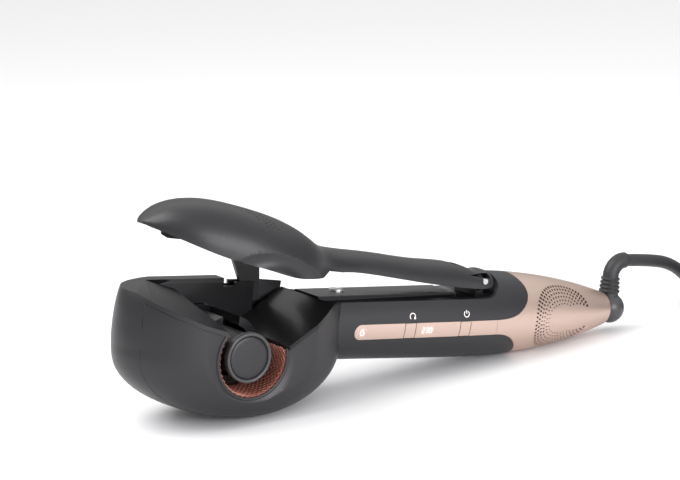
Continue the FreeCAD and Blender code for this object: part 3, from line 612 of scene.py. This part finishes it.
def soft_light(name, place, target, size, power, colour=(1.0, 1.0, 1.0)):
    """Rectangular area light of the power in watts at a place, turned towards its target."""
    lamp = bpy.data.lights.new(name, "AREA")
    lamp.shape = "RECTANGLE"
    lamp.size, lamp.size_y = size
    lamp.energy = power
    lamp.color = colour
    obj = link(name, lamp)
    obj.location = place
    obj.rotation_euler = (Vector(target) - Vector(place)).to_track_quat("-Z", "Y").to_euler()


class CURLER_OT_stage(bpy.types.Operator):
    """White floor, pale room, a wide soft ceiling, a soft key from the upper left and a front softbox"""
    bl_idname = "curler.stage"
    bl_label = "Stage"

    def execute(self, context):
        scene = context.scene
        scene.view_settings.view_transform = "Standard"
        camera = bpy.data.cameras.new("camera")
        camera.lens, camera.sensor_width = FOCAL_MM, SENSOR_MM
        camera.clip_start, camera.clip_end = 0.05, 40.0
        camera_object = link("camera", camera)
        camera_object.matrix_world = camera_matrix()
        scene.camera = camera_object
        world = bpy.data.worlds.new("white_room")
        scene.world = world
        world.use_nodes = True
        background = world.node_tree.nodes["Background"]
        background.inputs["Color"].default_value = (1.0, 1.0, 1.0, 1.0)
        background.inputs["Strength"].default_value = tones().sky
        floor_mesh = bpy.data.meshes.new("floor")
        h = FLOOR_HALF
        floor_mesh.from_pydata([(-h, -h, 0), (h, -h, 0), (h, h, 0), (-h, h, 0)], [], [(0, 1, 2, 3)])
        floor = link("floor", floor_mesh)
        paper = Finish("floor_paper", (0.95, 0.95, 0.955), 0.75, {"Specular IOR Level": 0.15})
        paper.put("Roughness", paper.noise(PAPER_FIBRE) * 0.1 + 0.7)
        floor.data.materials.append(paper.material)
        soft_light("ceiling_light", *CEILING, tones().ceiling)
        soft_light("key_light", *KEY, tones().key)
        soft_light("front_light", *FRONT, tones().front, COOL_WHITE)
        return {"FINISHED"}


# ---- cord ------------------------------------------------------------------------------------------
# Route in the table frame, in mm: out of the strain relief and down to the table, round the put-away
# coil, and out of the coil's top to the plug.
CORD_LEAD = ((237.703, 0.0, 36.495), (254.56, 0.0, 34.305), (276.0, 5.0, 28.5), (297.0, 13.0, 15.5),
             (316.0, 21.5, 4.6))
CORD_TAIL = ((353.0, 17.6, 18.5), (370.0, 3.0, 24.0), (373.5, -14.0, 27.1))
COIL_CENTRE = (336.0, -26.0)
COIL_MID_R = 37.5
CORD_MM = 6.8
POINTS_PER_TURN = 16
# Place of each turn in the coil's section: steps outwards from its middle, layers up
COIL_TURNS = ((1, 0), (0, 0), (-1, 0), (-1, 1), (-1, 2), (0, 2), (0, 1), (1, 1), (1, 2))
TURN_COUNT = len(COIL_TURNS)
# Share of a turn at which the first turn leaves its place, how much sooner each next one does, and
# the share that moving over takes
LEAVES_AT, LEAVES_SOONER, MOVES_OVER = 0.90, 0.045, 0.11
COIL_LIFT = 0.05


def coil_route():
    """Nine clockwise turns; a turn moves over to the next one's place near its end, each turn a little
    sooner than the one before it, so that the place is free."""
    angle = np.arange(TURN_COUNT * POINTS_PER_TURN + 1) * 2 * math.pi / POINTS_PER_TURN
    number = np.minimum(angle / (2 * math.pi), TURN_COUNT - 0.001).astype(int)
    share = angle / (2 * math.pi) - number
    leaves_at = LEAVES_AT - LEAVES_SOONER * number
    step = np.clip((share - leaves_at) / MOVES_OVER, 0, 1)
    places = np.array(COIL_TURNS, float)
    following = places[np.minimum(number + 1, TURN_COUNT - 1)]
    place = places[number] + (following - places[number]) * step[:, None]
    out = (COIL_MID_R + place[:, 0] * CORD_MM) / math.cos(math.pi / POINTS_PER_TURN)
    height = CORD_MM * (0.5 + place[:, 1]) + COIL_LIFT
    x = COIL_CENTRE[0] + out * np.sin(angle)
    y = COIL_CENTRE[1] + out * np.cos(angle)
    return np.stack((x, y, height), -1)


class CURLER_OT_cord(bpy.types.Operator):
    """Mains cord with its put-away coil, strain relief, swivel and plug"""
    bl_idname = "curler.cord"
    bl_label = "Cord and plug"

    def execute(self, context):
        points = np.concatenate((np.array(CORD_LEAD), coil_route(), np.array(CORD_TAIL))) * MM
        curve = bpy.data.curves.new("mains_cord", "CURVE")
        curve.dimensions = "3D"
        curve.bevel_depth = sizes().cord_d / 2
        curve.bevel_resolution = 4
        curve.resolution_u = curve.render_resolution_u = 6
        curve.use_fill_caps = True
        spline = curve.splines.new("NURBS")
        spline.points.add(len(points) - 1)
        spline.points.foreach_set("co", np.column_stack((points, np.ones(len(points)))).ravel())
        spline.order_u = 3
        spline.use_endpoint_u = True
        cord = dress(link("mains_cord", curve), "cord_swivel", finish_of("cord_rubber"))
        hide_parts("cord_lead", "cord_tail", "cord_coil")
        stand_in("strain_relief_sleeve", "strain_relief", finish_of("cord_rubber"))
        stand_in("swivel_knuckle_ball", "swivel_knuckle", finish_of("grey_ring"))
        plug = stand_in("plug_moulding", "plug_body", finish_of("cord_rubber"))
        pins = stand_in("plug_contact_pins", "plug_pins", finish_of("brass"))
        tie = stand_in("coil_tie_band", "cord_tie", finish_of("cord_rubber"))
        return {"FINISHED"}


# ---- head ------------------------------------------------------------------------------------------
SEAM_Y = -14.0
SEAM_FROM, SEAM_TO = 0.75 * math.pi, 2.1 * math.pi


def seam_groove():
    """Thin tube along the seam between side cover and centre band: the outline where head_level is 1 at
    SEAM_Y, an ellipse below the axis and x, z = L * |cos a|^0.5, HEAD_UPPER * |sin a|^0.5 above it."""
    angle = np.linspace(SEAM_FROM, SEAM_TO, 140)
    length = HEAD_HALF_LENGTH * math.sqrt(1 - (SEAM_Y / PLAN_HALF_WIDTH) ** 2)
    depth = HEAD_DEPTH * (1 - abs(SEAM_Y / SIDE_ROUND) ** 4) ** 0.25
    c, s = np.cos(angle), np.sin(angle)
    x = np.where(s < 0, c, np.sign(c) * np.abs(c) ** 0.5) * length + HEAD_X
    z = np.where(s < 0, depth * s, HEAD_UPPER * np.abs(s) ** 0.5)
    path = np.stack((x, np.full_like(x, SEAM_Y), z), -1)
    return tube(path, sizes().groove_r, 8, up=(0.0, 1.0, 0.0))


# Ramp panel: height at the origin, rise along X and Y, thickness, its highest point, and its ends
RAMP_Z, RAMP_SLOPE, RAMP_LEAN, RAMP_T = 15.3, -0.289, 0.20, 2.2
RAMP_TOP = 28.5
RAMP_END_X = -14.0
RAMP_FAR_Y, RAMP_NEAR_Y = 27.0, -30.6


def ramp_groove():
    """Thin tube along the foot of the ramp panel. The plane under the panel meets the head's surface:
    x and z are worked out from each other in turns until both hold."""
    y = np.linspace(RAMP_FAR_Y, RAMP_NEAR_Y, 90)
    length = HEAD_HALF_LENGTH * np.sqrt(1 - (y / PLAN_HALF_WIDTH) ** 2)
    z = np.full_like(y, 25.0)
    for _ in range(12):
        x = HEAD_X - length * (1 - np.minimum(z / HEAD_UPPER, 0.999) ** 4) ** 0.25
        z = np.minimum(RAMP_Z + RAMP_SLOPE * x + RAMP_LEAN * y - RAMP_T, RAMP_TOP - RAMP_T)
    front = np.stack((x, y, z), -1)
    side_x = np.linspace(x[-1] + 1.0, RAMP_END_X, 30)
    side_y = np.full_like(side_x, -HEAD_HALF_WIDTH)
    side = np.stack((side_x, side_y, RAMP_Z + RAMP_SLOPE * side_x + RAMP_LEAN * side_y - RAMP_T), -1)
    return tube(np.concatenate((front, side)), sizes().groove_r, 8)


class CURLER_OT_head(bpy.types.Operator):
    """Side covers, centre band, front ramp and rear slope of the curling head"""
    bl_idname = "curler.head"
    bl_label = "Head shells"

    def execute(self, context):
        dark, gloss = finish_of("dark_shell"), finish_of("gloss_black")
        near_grooves = join([seam_groove(), ramp_groove()])
        stand_in("near_cover_shell", "near_side_cover", dark, head_normal, near_grooves)
        stand_in("centre_band_shell", "centre_band", dark, head_normal, seam_groove())
        stand_in("far_cover_shell", "far_side_cover", dark, head_normal)
        stand_in("front_ramp_panel", "front_hair_ramp", dark, head_normal, sharp=14.0)
        stand_in("rear_slope_panel", "rear_hair_slope", gloss)
        return {"FINISHED"}


# ---- chamber ---------------------------------------------------------------------------------------
LINER_FROM = math.radians(-222.0)
LINER_TO = math.radians(15.0)
LINER_NEAR_Y = -29.4
LINER_FAR_Y = -8.5
WIRE_SWING = 0.6
WIRE_STAND = 1.7
LIP_Y = -29.85
LIP_R = CHAMBER_R + 0.62
LIP_HALF_WIDE, LIP_HALF_DEEP = 0.78, 0.5


def woven_wires():
    """Two families of helices on the liner's wall. Each wire's distance from the wall is
    WIRE_STAND * r + WIRE_SWING * r * sin(pi * run / pitch), the families in opposite phase, so that
    they pass over and under each other."""
    pitch, thick = sizes().wire_pitch, sizes().wire_r
    span_y = LINER_FAR_Y - LINER_NEAR_Y
    arc = (LINER_TO - LINER_FROM) * CHAMBER_R
    sides = np.linspace(0, 2 * math.pi, 5, endpoint=False)
    parts = []
    for lean, phase in ((1, 0.0), (-1, math.pi)):
        starts = np.arange(-span_y, arc + span_y, pitch)
        run = np.linspace(0, span_y, 40)
        for start in starts:
            around = start + lean * (run - span_y / 2)
            inside = (around > 0) & (around < arc)
            if inside.sum() < 3:
                continue
            y, along = LINER_NEAR_Y + run[inside], around[inside]
            swing = np.sin(math.pi * (along + y * -lean) / pitch + phase) * thick * WIRE_SWING
            theta = LINER_FROM + along / CHAMBER_R
            radius = CHAMBER_R - thick * WIRE_STAND + swing
            ring_r = radius[:, None] + thick * np.cos(sides)
            ring_y = y[:, None] + thick * np.sin(sides)
            x, z = ring_r * np.cos(theta)[:, None], ring_r * np.sin(theta)[:, None]
            parts.append(grid(np.stack((x, ring_y, z), -1), close_v=True))
    return join(parts)


def opening_lip():
    """Dark oval band that covers the liner's near edge, from the ramp round below to the slope."""
    angle = np.linspace(LINER_FROM + 0.03, LINER_TO - 0.02, 90)
    bend = np.linspace(0, 2 * math.pi, 12, endpoint=False)
    radius = LIP_R + LIP_HALF_WIDE * np.cos(bend)
    x, z = radius * np.cos(angle)[:, None], radius * np.sin(angle)[:, None]
    y = np.broadcast_to(LIP_Y + LIP_HALF_DEEP * np.sin(bend), x.shape)
    ring = np.stack((x, y, z), -1)
    ends = ring.mean(1, keepdims=True).repeat(12, 1)
    return grid(np.concatenate((ends[:1], ring, ends[-1:])), close_v=True)


def cap_ring_profile():
    """Section of the cap's ring: a rounded rim in front, hollow towards the disc."""
    face, back = CAP_FACE_Y, CAP_FACE_Y + CAP_RING_T
    outer, inner = CAP_RING_R - 0.05, CAP_DISC_R + 0.22
    rim = [(face + 0.7, outer), (face + 0.2, outer - 0.2), (face, outer - 0.75), (face + 0.1, inner + 0.28),
           (face + 0.5, inner)]
    return [(back, outer)] + rim + [(back, inner), (back, outer)]


def cap_disc_profile():
    """Section of the cap's disc: its front bowed out as a parabola, 0.35 high in the middle."""
    face, back = CAP_FACE_Y, CAP_FACE_Y + CAP_RING_T
    front = [(face + 0.55 - 0.35 * (1 - r ** 2), (CAP_DISC_R - 0.3) * r) for r in np.linspace(0, 1, 8)]
    return front + [(face + 0.8, CAP_DISC_R - 0.05), (back, CAP_DISC_R - 0.05), (back, 0.0)]


class CURLER_OT_chamber(bpy.types.Operator):
    """Liner with its woven wires, barrel cap, barrel and rotor sleeve"""
    bl_idname = "curler.chamber"
    bl_label = "Curl chamber"

    def execute(self, context):
        copper, grey = finish_of("copper_mesh"), finish_of("dark_grey")
        stand_in("liner_wall", "chamber_liner", copper)
        piece("woven_liner_wires", woven_wires(), "housing", copper)
        piece("opening_lip", opening_lip(), "housing", finish_of("dark_shell"))
        ring = revolve_y(cap_ring_profile())
        cap_ring = piece("cap_ring_rounded", ring, "housing", finish_of("grey_ring"), 50.0)
        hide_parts("barrel_cap_ring")
        disc = revolve_y(cap_disc_profile())
        cap_disc = piece("cap_disc_bowed", disc, "housing", grey, 50.0)
        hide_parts("barrel_cap_disc")
        stand_in("barrel_tube", "curl_barrel", grey)
        stand_in("rotor_drum", "rotor_sleeve", finish_of("gloss_black"))
        return {"FINISHED"}


# ---- handle and controls ---------------------------------------------------------------------------
TURN_SIGN_AT = (95.8, 15.2)
POWER_SIGN_AT = (128.4, 15.6)
STROKE_LOW, STROKE_HIGH = -0.12, 0.07
FIGURE_STROKE = 0.26
CURL_STROKE = 0.4


def on_handle(x, z, lift=0.0):
    """Points on the handle's near side at device x and z: y = -sqrt((r(x) + lift)^2 - z^2), with z
    counted from the handle's axis."""
    radius, _ = spline_at(HANDLE_RIM, x)
    radius = radius + lift
    return np.stack((x, -np.sqrt(np.maximum(radius ** 2 - (z - HANDLE_Z) ** 2, 0.01)), z), -1)


def stroke(path, width=None):
    """Flat band of rectangular section along a path of (x, z) points laid on the handle."""
    path = np.asarray(path, float)
    half = (width or sizes().sign_width) / 2
    along = unit(np.gradient(path, axis=0))
    side = np.stack((-along[:, 1], along[:, 0]), -1) * half
    corners = [(path + side, STROKE_HIGH), (path - side, STROKE_HIGH), (path - side, STROKE_LOW),
               (path + side, STROKE_LOW)]
    section = np.stack([on_handle(p[:, 0], p[:, 1], lift) for p, lift in corners], 1)
    middle = section.mean(1, keepdims=True).repeat(4, 1)
    return grid(np.concatenate((middle[:1], section, middle[-1:])), close_v=True)


def arc(centre, radius, start, end):
    """Points of (x, z) on a circle between two angles in degrees."""
    angle = np.radians(np.linspace(start, end, 28))
    return np.stack((centre[0] + radius * np.cos(angle), centre[1] + radius * np.sin(angle)), -1)


def power_sign(centre, radius=1.5):
    """Open ring with a short bar in its gap."""
    x, z = centre
    bar = np.linspace((x, z + 0.2), (x, z + radius * 1.25), 6)
    return join([stroke(arc(centre, radius, 125, 415)), stroke(bar)])


def turn_sign(centre, radius=1.55):
    """Open ring that ends in an arrow head."""
    x, z = centre
    tip = (x + radius * math.cos(math.radians(-50)), z + radius * math.sin(math.radians(-50)))
    head = [stroke(np.linspace((tip[0] - 0.1, tip[1]), (tip[0] + 1.0, tip[1] + 0.2), 6)),
            stroke(np.linspace((tip[0], tip[1] - 0.05), (tip[0] + 0.2, tip[1] + 1.1), 6))]
    return join([stroke(arc(centre, radius, -50, 230))] + head)


def curl_sign(centre):
    """Lock of hair: a ring, and an arc that rises from its left side as a tail."""
    x, z = centre
    ring, tail = arc((x, z - 0.5), 1.0, 90, 430), arc((x + 0.9, z - 0.3), 1.9, 180, 100)
    return join([stroke(ring, CURL_STROKE), stroke(tail, CURL_STROKE)])


# Bars of a figure, as on a seven-bar display: (x, z) ends in units of its half height
FIGURE_BARS = {"top": ((-0.5, 1), (0.5, 1)), "middle": ((-0.5, 0), (0.5, 0)),
               "foot": ((-0.5, -1), (0.5, -1)),
               "left_up": ((-0.5, 0), (-0.5, 1)), "right_up": ((0.5, 0), (0.5, 1)),
               "left_low": ((-0.5, -1), (-0.5, 0)), "right_low": ((0.5, -1), (0.5, 0))}
FIGURES = {"2": ("top", "right_up", "middle", "left_low", "foot"),
           "3": ("top", "right_up", "middle", "right_low", "foot"),
           "0": ("top", "foot", "left_up", "left_low", "right_up", "right_low")}


def figures(text, centre, half=1.2, pitch=2.15):
    """Row of seven-bar figures."""
    parts = []
    first = centre[0] - pitch * (len(text) - 1) / 2
    for place, figure in enumerate(text):
        x = first + pitch * place
        for bar in FIGURES[figure]:
            (x0, z0), (x1, z1) = FIGURE_BARS[bar]
            start, end = (x + x0 * half, centre[1] + z0 * half), (x + x1 * half, centre[1] + z1 * half)
            parts.append(stroke(np.linspace(start, end, 3), FIGURE_STROKE))
    return join(parts)


class CURLER_OT_handle(bpy.types.Operator):
    """Handle shells, deck tray and the lid contact"""
    bl_idname = "curler.handle"
    bl_label = "Handle"

    def execute(self, context):
        dark = finish_of("dark_shell")
        stand_in("near_grip_shell", "near_handle_shell", dark, handle_normal)
        stand_in("far_grip_shell", "far_handle_shell", dark, handle_normal)
        stand_in("deck_under_arm", "deck_tray", finish_of("gloss_black"))
        stand_in("lid_contact_stud", "lid_contact", finish_of("aluminium"))
        return {"FINISHED"}


class CURLER_OT_controls(bpy.types.Operator):
    """Rose gold strip, its two buttons, lenses, back-lit signs, and printed signs given a painted glow"""
    bl_idname = "curler.controls"
    bl_label = "Control strip"

    def execute(self, context):
        gold = finish_of("rose_gold")
        for node in ("strip_front", "strip_middle", "strip_rear", "direction_button", "power_button"):
            stand_in(node + "_plate", node, gold, handle_normal)
        for node in ("mode_lens", "display_lens"):
            stand_in(node + "_window", node, finish_of("lens"), handle_normal)
        lit = glowing("lit_sign", tuple(tones().glow), 1.3)
        # The printed turn and power signs are no lamp: their faint glow at strength 0.25 is painted light.
        pale = glowing("print_with_painted_glow", (0.85, 0.85, 0.86), 0.25)
        piece("temperature_figures", figures("230", (DISPLAY_X, STRIP_Z)), "housing", lit)
        piece("curl_sign", curl_sign((MODE_X, STRIP_Z)), "housing", lit)
        piece("turn_sign", turn_sign(TURN_SIGN_AT), "housing", pale)
        piece("power_sign", power_sign(POWER_SIGN_AT), "housing", pale)
        return {"FINISHED"}


# ---- rear cone -------------------------------------------------------------------------------------
# Middle of the rows: device x and the height that they are counted from
VENT_CENTRE = (189.0, 10.0)
# Outer row: its round radius, how much taller it is than wide, and the length of its tip
VENT_ROUND, VENT_TALLER, VENT_TIP = 14.0, 3.6, 12.0
# How much each next row shrinks, and how far the inner rows' tips stay out
VENT_ROW_STEP, VENT_TIP_STAYS = 0.125, 9.0
# Bare tongue behind the tip: half its angle at the outer row, and what each row adds, in degrees
TONGUE_ANGLE, TONGUE_WIDENS = 11, 3.5
# Width of the vents: share left at the round end, shrinking per row, length to width and its fall per row
VENT_FADE, VENT_TAPER = 0.72, 0.085
VENT_LONG, VENT_ROUNDER = 1.35, 0.07
VENT_STARTS_ABOVE, VENT_ENDS_BELOW = 0.7, -2.05
VENT_SIDES = 10


def vent_radius(angle, row_share):
    """Nested drops: a round body drawn out to a tip at angle 0; inner rows keep their tips near it.
    With tip = ((1 + cos a) / 2)^4 the outer row is VENT_ROUND + VENT_TALLER * sin(a)^2 + VENT_TIP * tip."""
    toward_tip = ((1 + np.cos(angle)) / 2) ** 4
    outer = VENT_ROUND + VENT_TALLER * np.sin(angle) ** 2 + VENT_TIP * toward_tip
    return outer * row_share + (1 - row_share) * VENT_TIP_STAYS * toward_tip


def vent_prisms(side):
    """Ten-sided prisms through the cone wall, their long axis square to their row."""
    rows, pitch, half = sizes().vent_rows, sizes().vent_pitch, sizes().vent_half
    centres, leans, widths, lengths = [], [], [], []
    for row in range(rows):
        share = 1 - VENT_ROW_STEP * row
        tongue = TONGUE_ANGLE + TONGUE_WIDENS * row
        angle = np.linspace(math.radians(tongue), math.radians(360 - tongue), 1200)
        radius = vent_radius(angle, share)
        x, z = VENT_CENTRE[0] + radius * np.cos(angle), radius * np.sin(angle)
        run = np.concatenate(([0], np.cumsum(np.hypot(np.diff(x), np.diff(z)))))
        count = int(run[-1] / pitch)
        at = (np.arange(count) + 0.5) * run[-1] / count
        ax, az = np.interp(at, run, x), np.interp(at, run, z)
        theta = np.interp(at, run, angle)
        along = np.arctan2(np.interp(at, run, np.gradient(z, run)), np.interp(at, run, np.gradient(x, run)))
        fade = VENT_FADE + (1 - VENT_FADE) * np.minimum(1, np.abs(theta - math.pi) / 0.9)
        taper = 1 - VENT_TAPER * row
        centres.append(np.stack((ax, az), -1))
        leans.append(along)
        widths.append(half * taper * fade)
        lengths.append(half * taper * fade * (VENT_LONG - VENT_ROUNDER * row))
    centre, lean = np.concatenate(centres), np.concatenate(leans)
    wide, long = np.concatenate(widths), np.concatenate(lengths)
    corner = np.linspace(0, 2 * math.pi, VENT_SIDES, endpoint=False)
    u = wide[:, None] * np.cos(corner)
    v = long[:, None] * np.sin(corner)
    dx = u * np.cos(lean)[:, None] - v * np.sin(lean)[:, None]
    ds = u * np.sin(lean)[:, None] + v * np.cos(lean)[:, None]
    radius, _ = spline_at(HANDLE_RIM, centre[:, 0])
    swing = ((centre[:, 1] + VENT_CENTRE[1] - HANDLE_Z)[:, None] + ds) / radius[:, None]
    x = centre[:, 0][:, None] + dx
    ends = []
    for depth in (VENT_STARTS_ABOVE, VENT_ENDS_BELOW):
        r = radius[:, None] + depth
        ends.append(np.stack((x, side * r * np.cos(swing), HANDLE_Z + r * np.sin(swing)), -1))
    top, foot = ends
    top_pole, foot_pole = (end.mean(1, keepdims=True).repeat(VENT_SIDES, 1) for end in ends)
    rings = np.stack((top_pole, top, foot, foot_pole), 1)
    return join([grid(ring, close_v=True) for ring in rings])


class CURLER_OT_cone(bpy.types.Operator):
    """Rose gold cone with nested rows of vents, and the dark sleeve behind them"""
    bl_idname = "curler.cone"
    bl_label = "Rear cone"

    def execute(self, context):
        vents = join([vent_prisms(-1.0), vent_prisms(1.0)])
        stand_in("vented_cone", "rear_cone", finish_of("rose_gold"), handle_normal, vents)
        stand_in("dark_vent_sleeve", "vent_sleeve", finish_of("gloss_black"), handle_normal)
        stand_in("swivel_socket_ring", "swivel_socket", finish_of("dark_grey"))
        return {"FINISHED"}


# ---- lid -------------------------------------------------------------------------------------------
# stations along the lid: x, half width, height of the lower edge, height of the crown
LID_STATIONS = np.array((
    (-47.0, 3.0, 59.0, 60.6), (-43.5, 9.5, 57.6, 63.4), (-37.0, 16.0, 55.0, 67.0),
    (-27.0, 22.5, 51.0, 69.6), (-12.0, 27.5, 45.8, 69.8), (4.0, 30.5, 41.8, 66.9),
    (20.0, 30.8, 37.6, 62.5), (34.0, 27.5, 36.2, 56.2), (46.0, 20.0, 36.9, 49.2),
    (58.0, 15.2, 36.9, 46.3), (80.0, 13.6, 34.4, 44.0), (110.0, 13.6, 29.8, 40.2),
    (138.0, 13.6, 26.7, 36.4), (150.6, 12.8, 26.9, 34.6)))


def on_lid(x, t):
    """Point of the lid's arch at station x: y = half * cos(t)^0.8, z = edge + (crown - edge) * sin(t)^0.8,
    with t turning from 0 at the far edge to pi at the near edge and each power keeping its sign."""
    half, edge, crown = (spline_at(LID_STATIONS[:, (0, column)], x)[0] for column in (1, 2, 3))
    c, s = np.cos(t), np.sin(t)
    return np.stack((x, half * np.sign(c) * np.abs(c) ** 0.8, edge + (crown - edge) * np.abs(s) ** 0.8), -1)


# Dimples: rows, the first one's x and angle, spacing along a row, and each row's shift and turn
DIMPLE_ROWS = 9
DIMPLE_X, DIMPLE_ANGLE = -5.0, 1.66
DIMPLE_PITCH, DIMPLE_SHIFT, DIMPLE_TURN = 2.6, 1.55, 0.083
DIMPLE_LIFT = 0.62


def dimples():
    """Small balls sunk in the lid's surface in a triangular cluster that narrows down the near side."""
    radius = sizes().dimple_r
    spots = []
    for row in range(DIMPLE_ROWS):
        start = DIMPLE_X + DIMPLE_PITCH / 2 * (row % 2) + DIMPLE_SHIFT * row
        for column in range(max(2, 5 - abs(row - 3) // 2)):
            spots.append((start + DIMPLE_PITCH * column, DIMPLE_ANGLE + DIMPLE_TURN * row))
    x, t = np.array(spots).T
    places = on_lid(x, t)
    outwards = unit(np.cross(on_lid(x, t + 0.01) - places, on_lid(x + 0.1, t) - places))
    outwards *= np.sign(outwards[:, 2:3])
    middle = places + outwards * radius * DIMPLE_LIFT
    lat, lon = np.linspace(0, math.pi, 7), np.linspace(0, 2 * math.pi, 10, endpoint=False)
    ball = radius * np.stack((np.outer(np.sin(lat), np.cos(lon)), np.outer(np.sin(lat), np.sin(lon)),
                              np.outer(np.cos(lat), np.ones(10))), -1)
    return join([grid(ball + spot, close_v=True) for spot in middle])


# Middle of the arched channel: device x, z
ARCH_LINE = ((-13.0, 39.5), (-6.0, 43.0), (3.0, 45.6), (13.0, 45.0), (23.0, 41.0), (31.0, 36.0),
             (37.0, 31.5))
ARCH_TUBE_R = 7.5
ARCH_DEPTH = 1.6


def arch_scoop():
    """Thick tube outside the lid's near wall that scoops a shallow arched channel above its lower edge:
    its axis lies ARCH_TUBE_R - ARCH_DEPTH outside the lid's half width."""
    fine = np.linspace(ARCH_LINE[0][0], ARCH_LINE[-1][0], 60)
    height, _ = spline_at(ARCH_LINE, fine)
    half = spline_at(LID_STATIONS[:, :2], fine)[0]
    path = np.stack((fine, -(half + ARCH_TUBE_R - ARCH_DEPTH), height), -1)
    return tube(path, ARCH_TUBE_R, 40, up=(0.0, 1.0, 0.0))


class CURLER_OT_lid(bpy.types.Operator):
    """Clamp lid with its dimples, liner and hair guide"""
    bl_idname = "curler.lid"
    bl_label = "Lid"

    def execute(self, context):
        dark = finish_of("dark_shell")
        cutter = join([dimples(), arch_scoop()])
        stand_in("lid_cover", "lid_shell", dark, cutter=cutter, sharp=24.0)
        stand_in("lid_inner_liner", "lid_liner", finish_of("gloss_black"))
        stand_in("hair_guide_blade", "hair_guide", dark)
        return {"FINISHED"}


# ---- the rest --------------------------------------------------------------------------------------
class CURLER_OT_inner(bpy.types.Operator):
    """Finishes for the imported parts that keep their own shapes"""
    bl_idname = "curler.inner"
    bl_label = "Inner parts"

    def execute(self, context):
        for node, obj in frame["nodes"].items():
            obj.data.materials.clear()
            obj.data.materials.append(finish_of(SLOT_OF[node]))
        return {"FINISHED"}


class CURLER_PT_panel(bpy.types.Panel):
    """Lists the steps that dress the curler"""
    bl_label = "Hair curler"
    bl_idname = "CURLER_PT_panel"
    bl_space_type = "VIEW_3D"
    bl_region_type = "UI"
    bl_category = "Curler"

    def draw(self, context):
        for step in STEPS:
            self.layout.operator(step.bl_idname)
        for group in (context.scene.curler_sizes, context.scene.curler_tones):
            box = self.layout.box()
            for name in group.__annotations__:
                box.prop(group, name)


STEPS = (CURLER_OT_stage, CURLER_OT_cord, CURLER_OT_head, CURLER_OT_chamber, CURLER_OT_handle,
         CURLER_OT_controls, CURLER_OT_cone, CURLER_OT_lid, CURLER_OT_inner)
CLASSES = (CurlerSizes, CurlerTones, *STEPS, CURLER_PT_panel)


def register():
    for item in CLASSES:
        bpy.utils.register_class(item)
    bpy.types.Scene.curler_sizes = bpy.props.PointerProperty(type=CurlerSizes)
    bpy.types.Scene.curler_tones = bpy.props.PointerProperty(type=CurlerTones)


def unregister():
    del bpy.types.Scene.curler_tones
    del bpy.types.Scene.curler_sizes
    for item in reversed(CLASSES):
        bpy.utils.unregister_class(item)


def main():
    """Runs every step."""
    register()
    for step in STEPS:
        group, name = step.bl_idname.split(".")
        getattr(getattr(bpy.ops, group), name)()


if __name__ == "__main__":
    main()
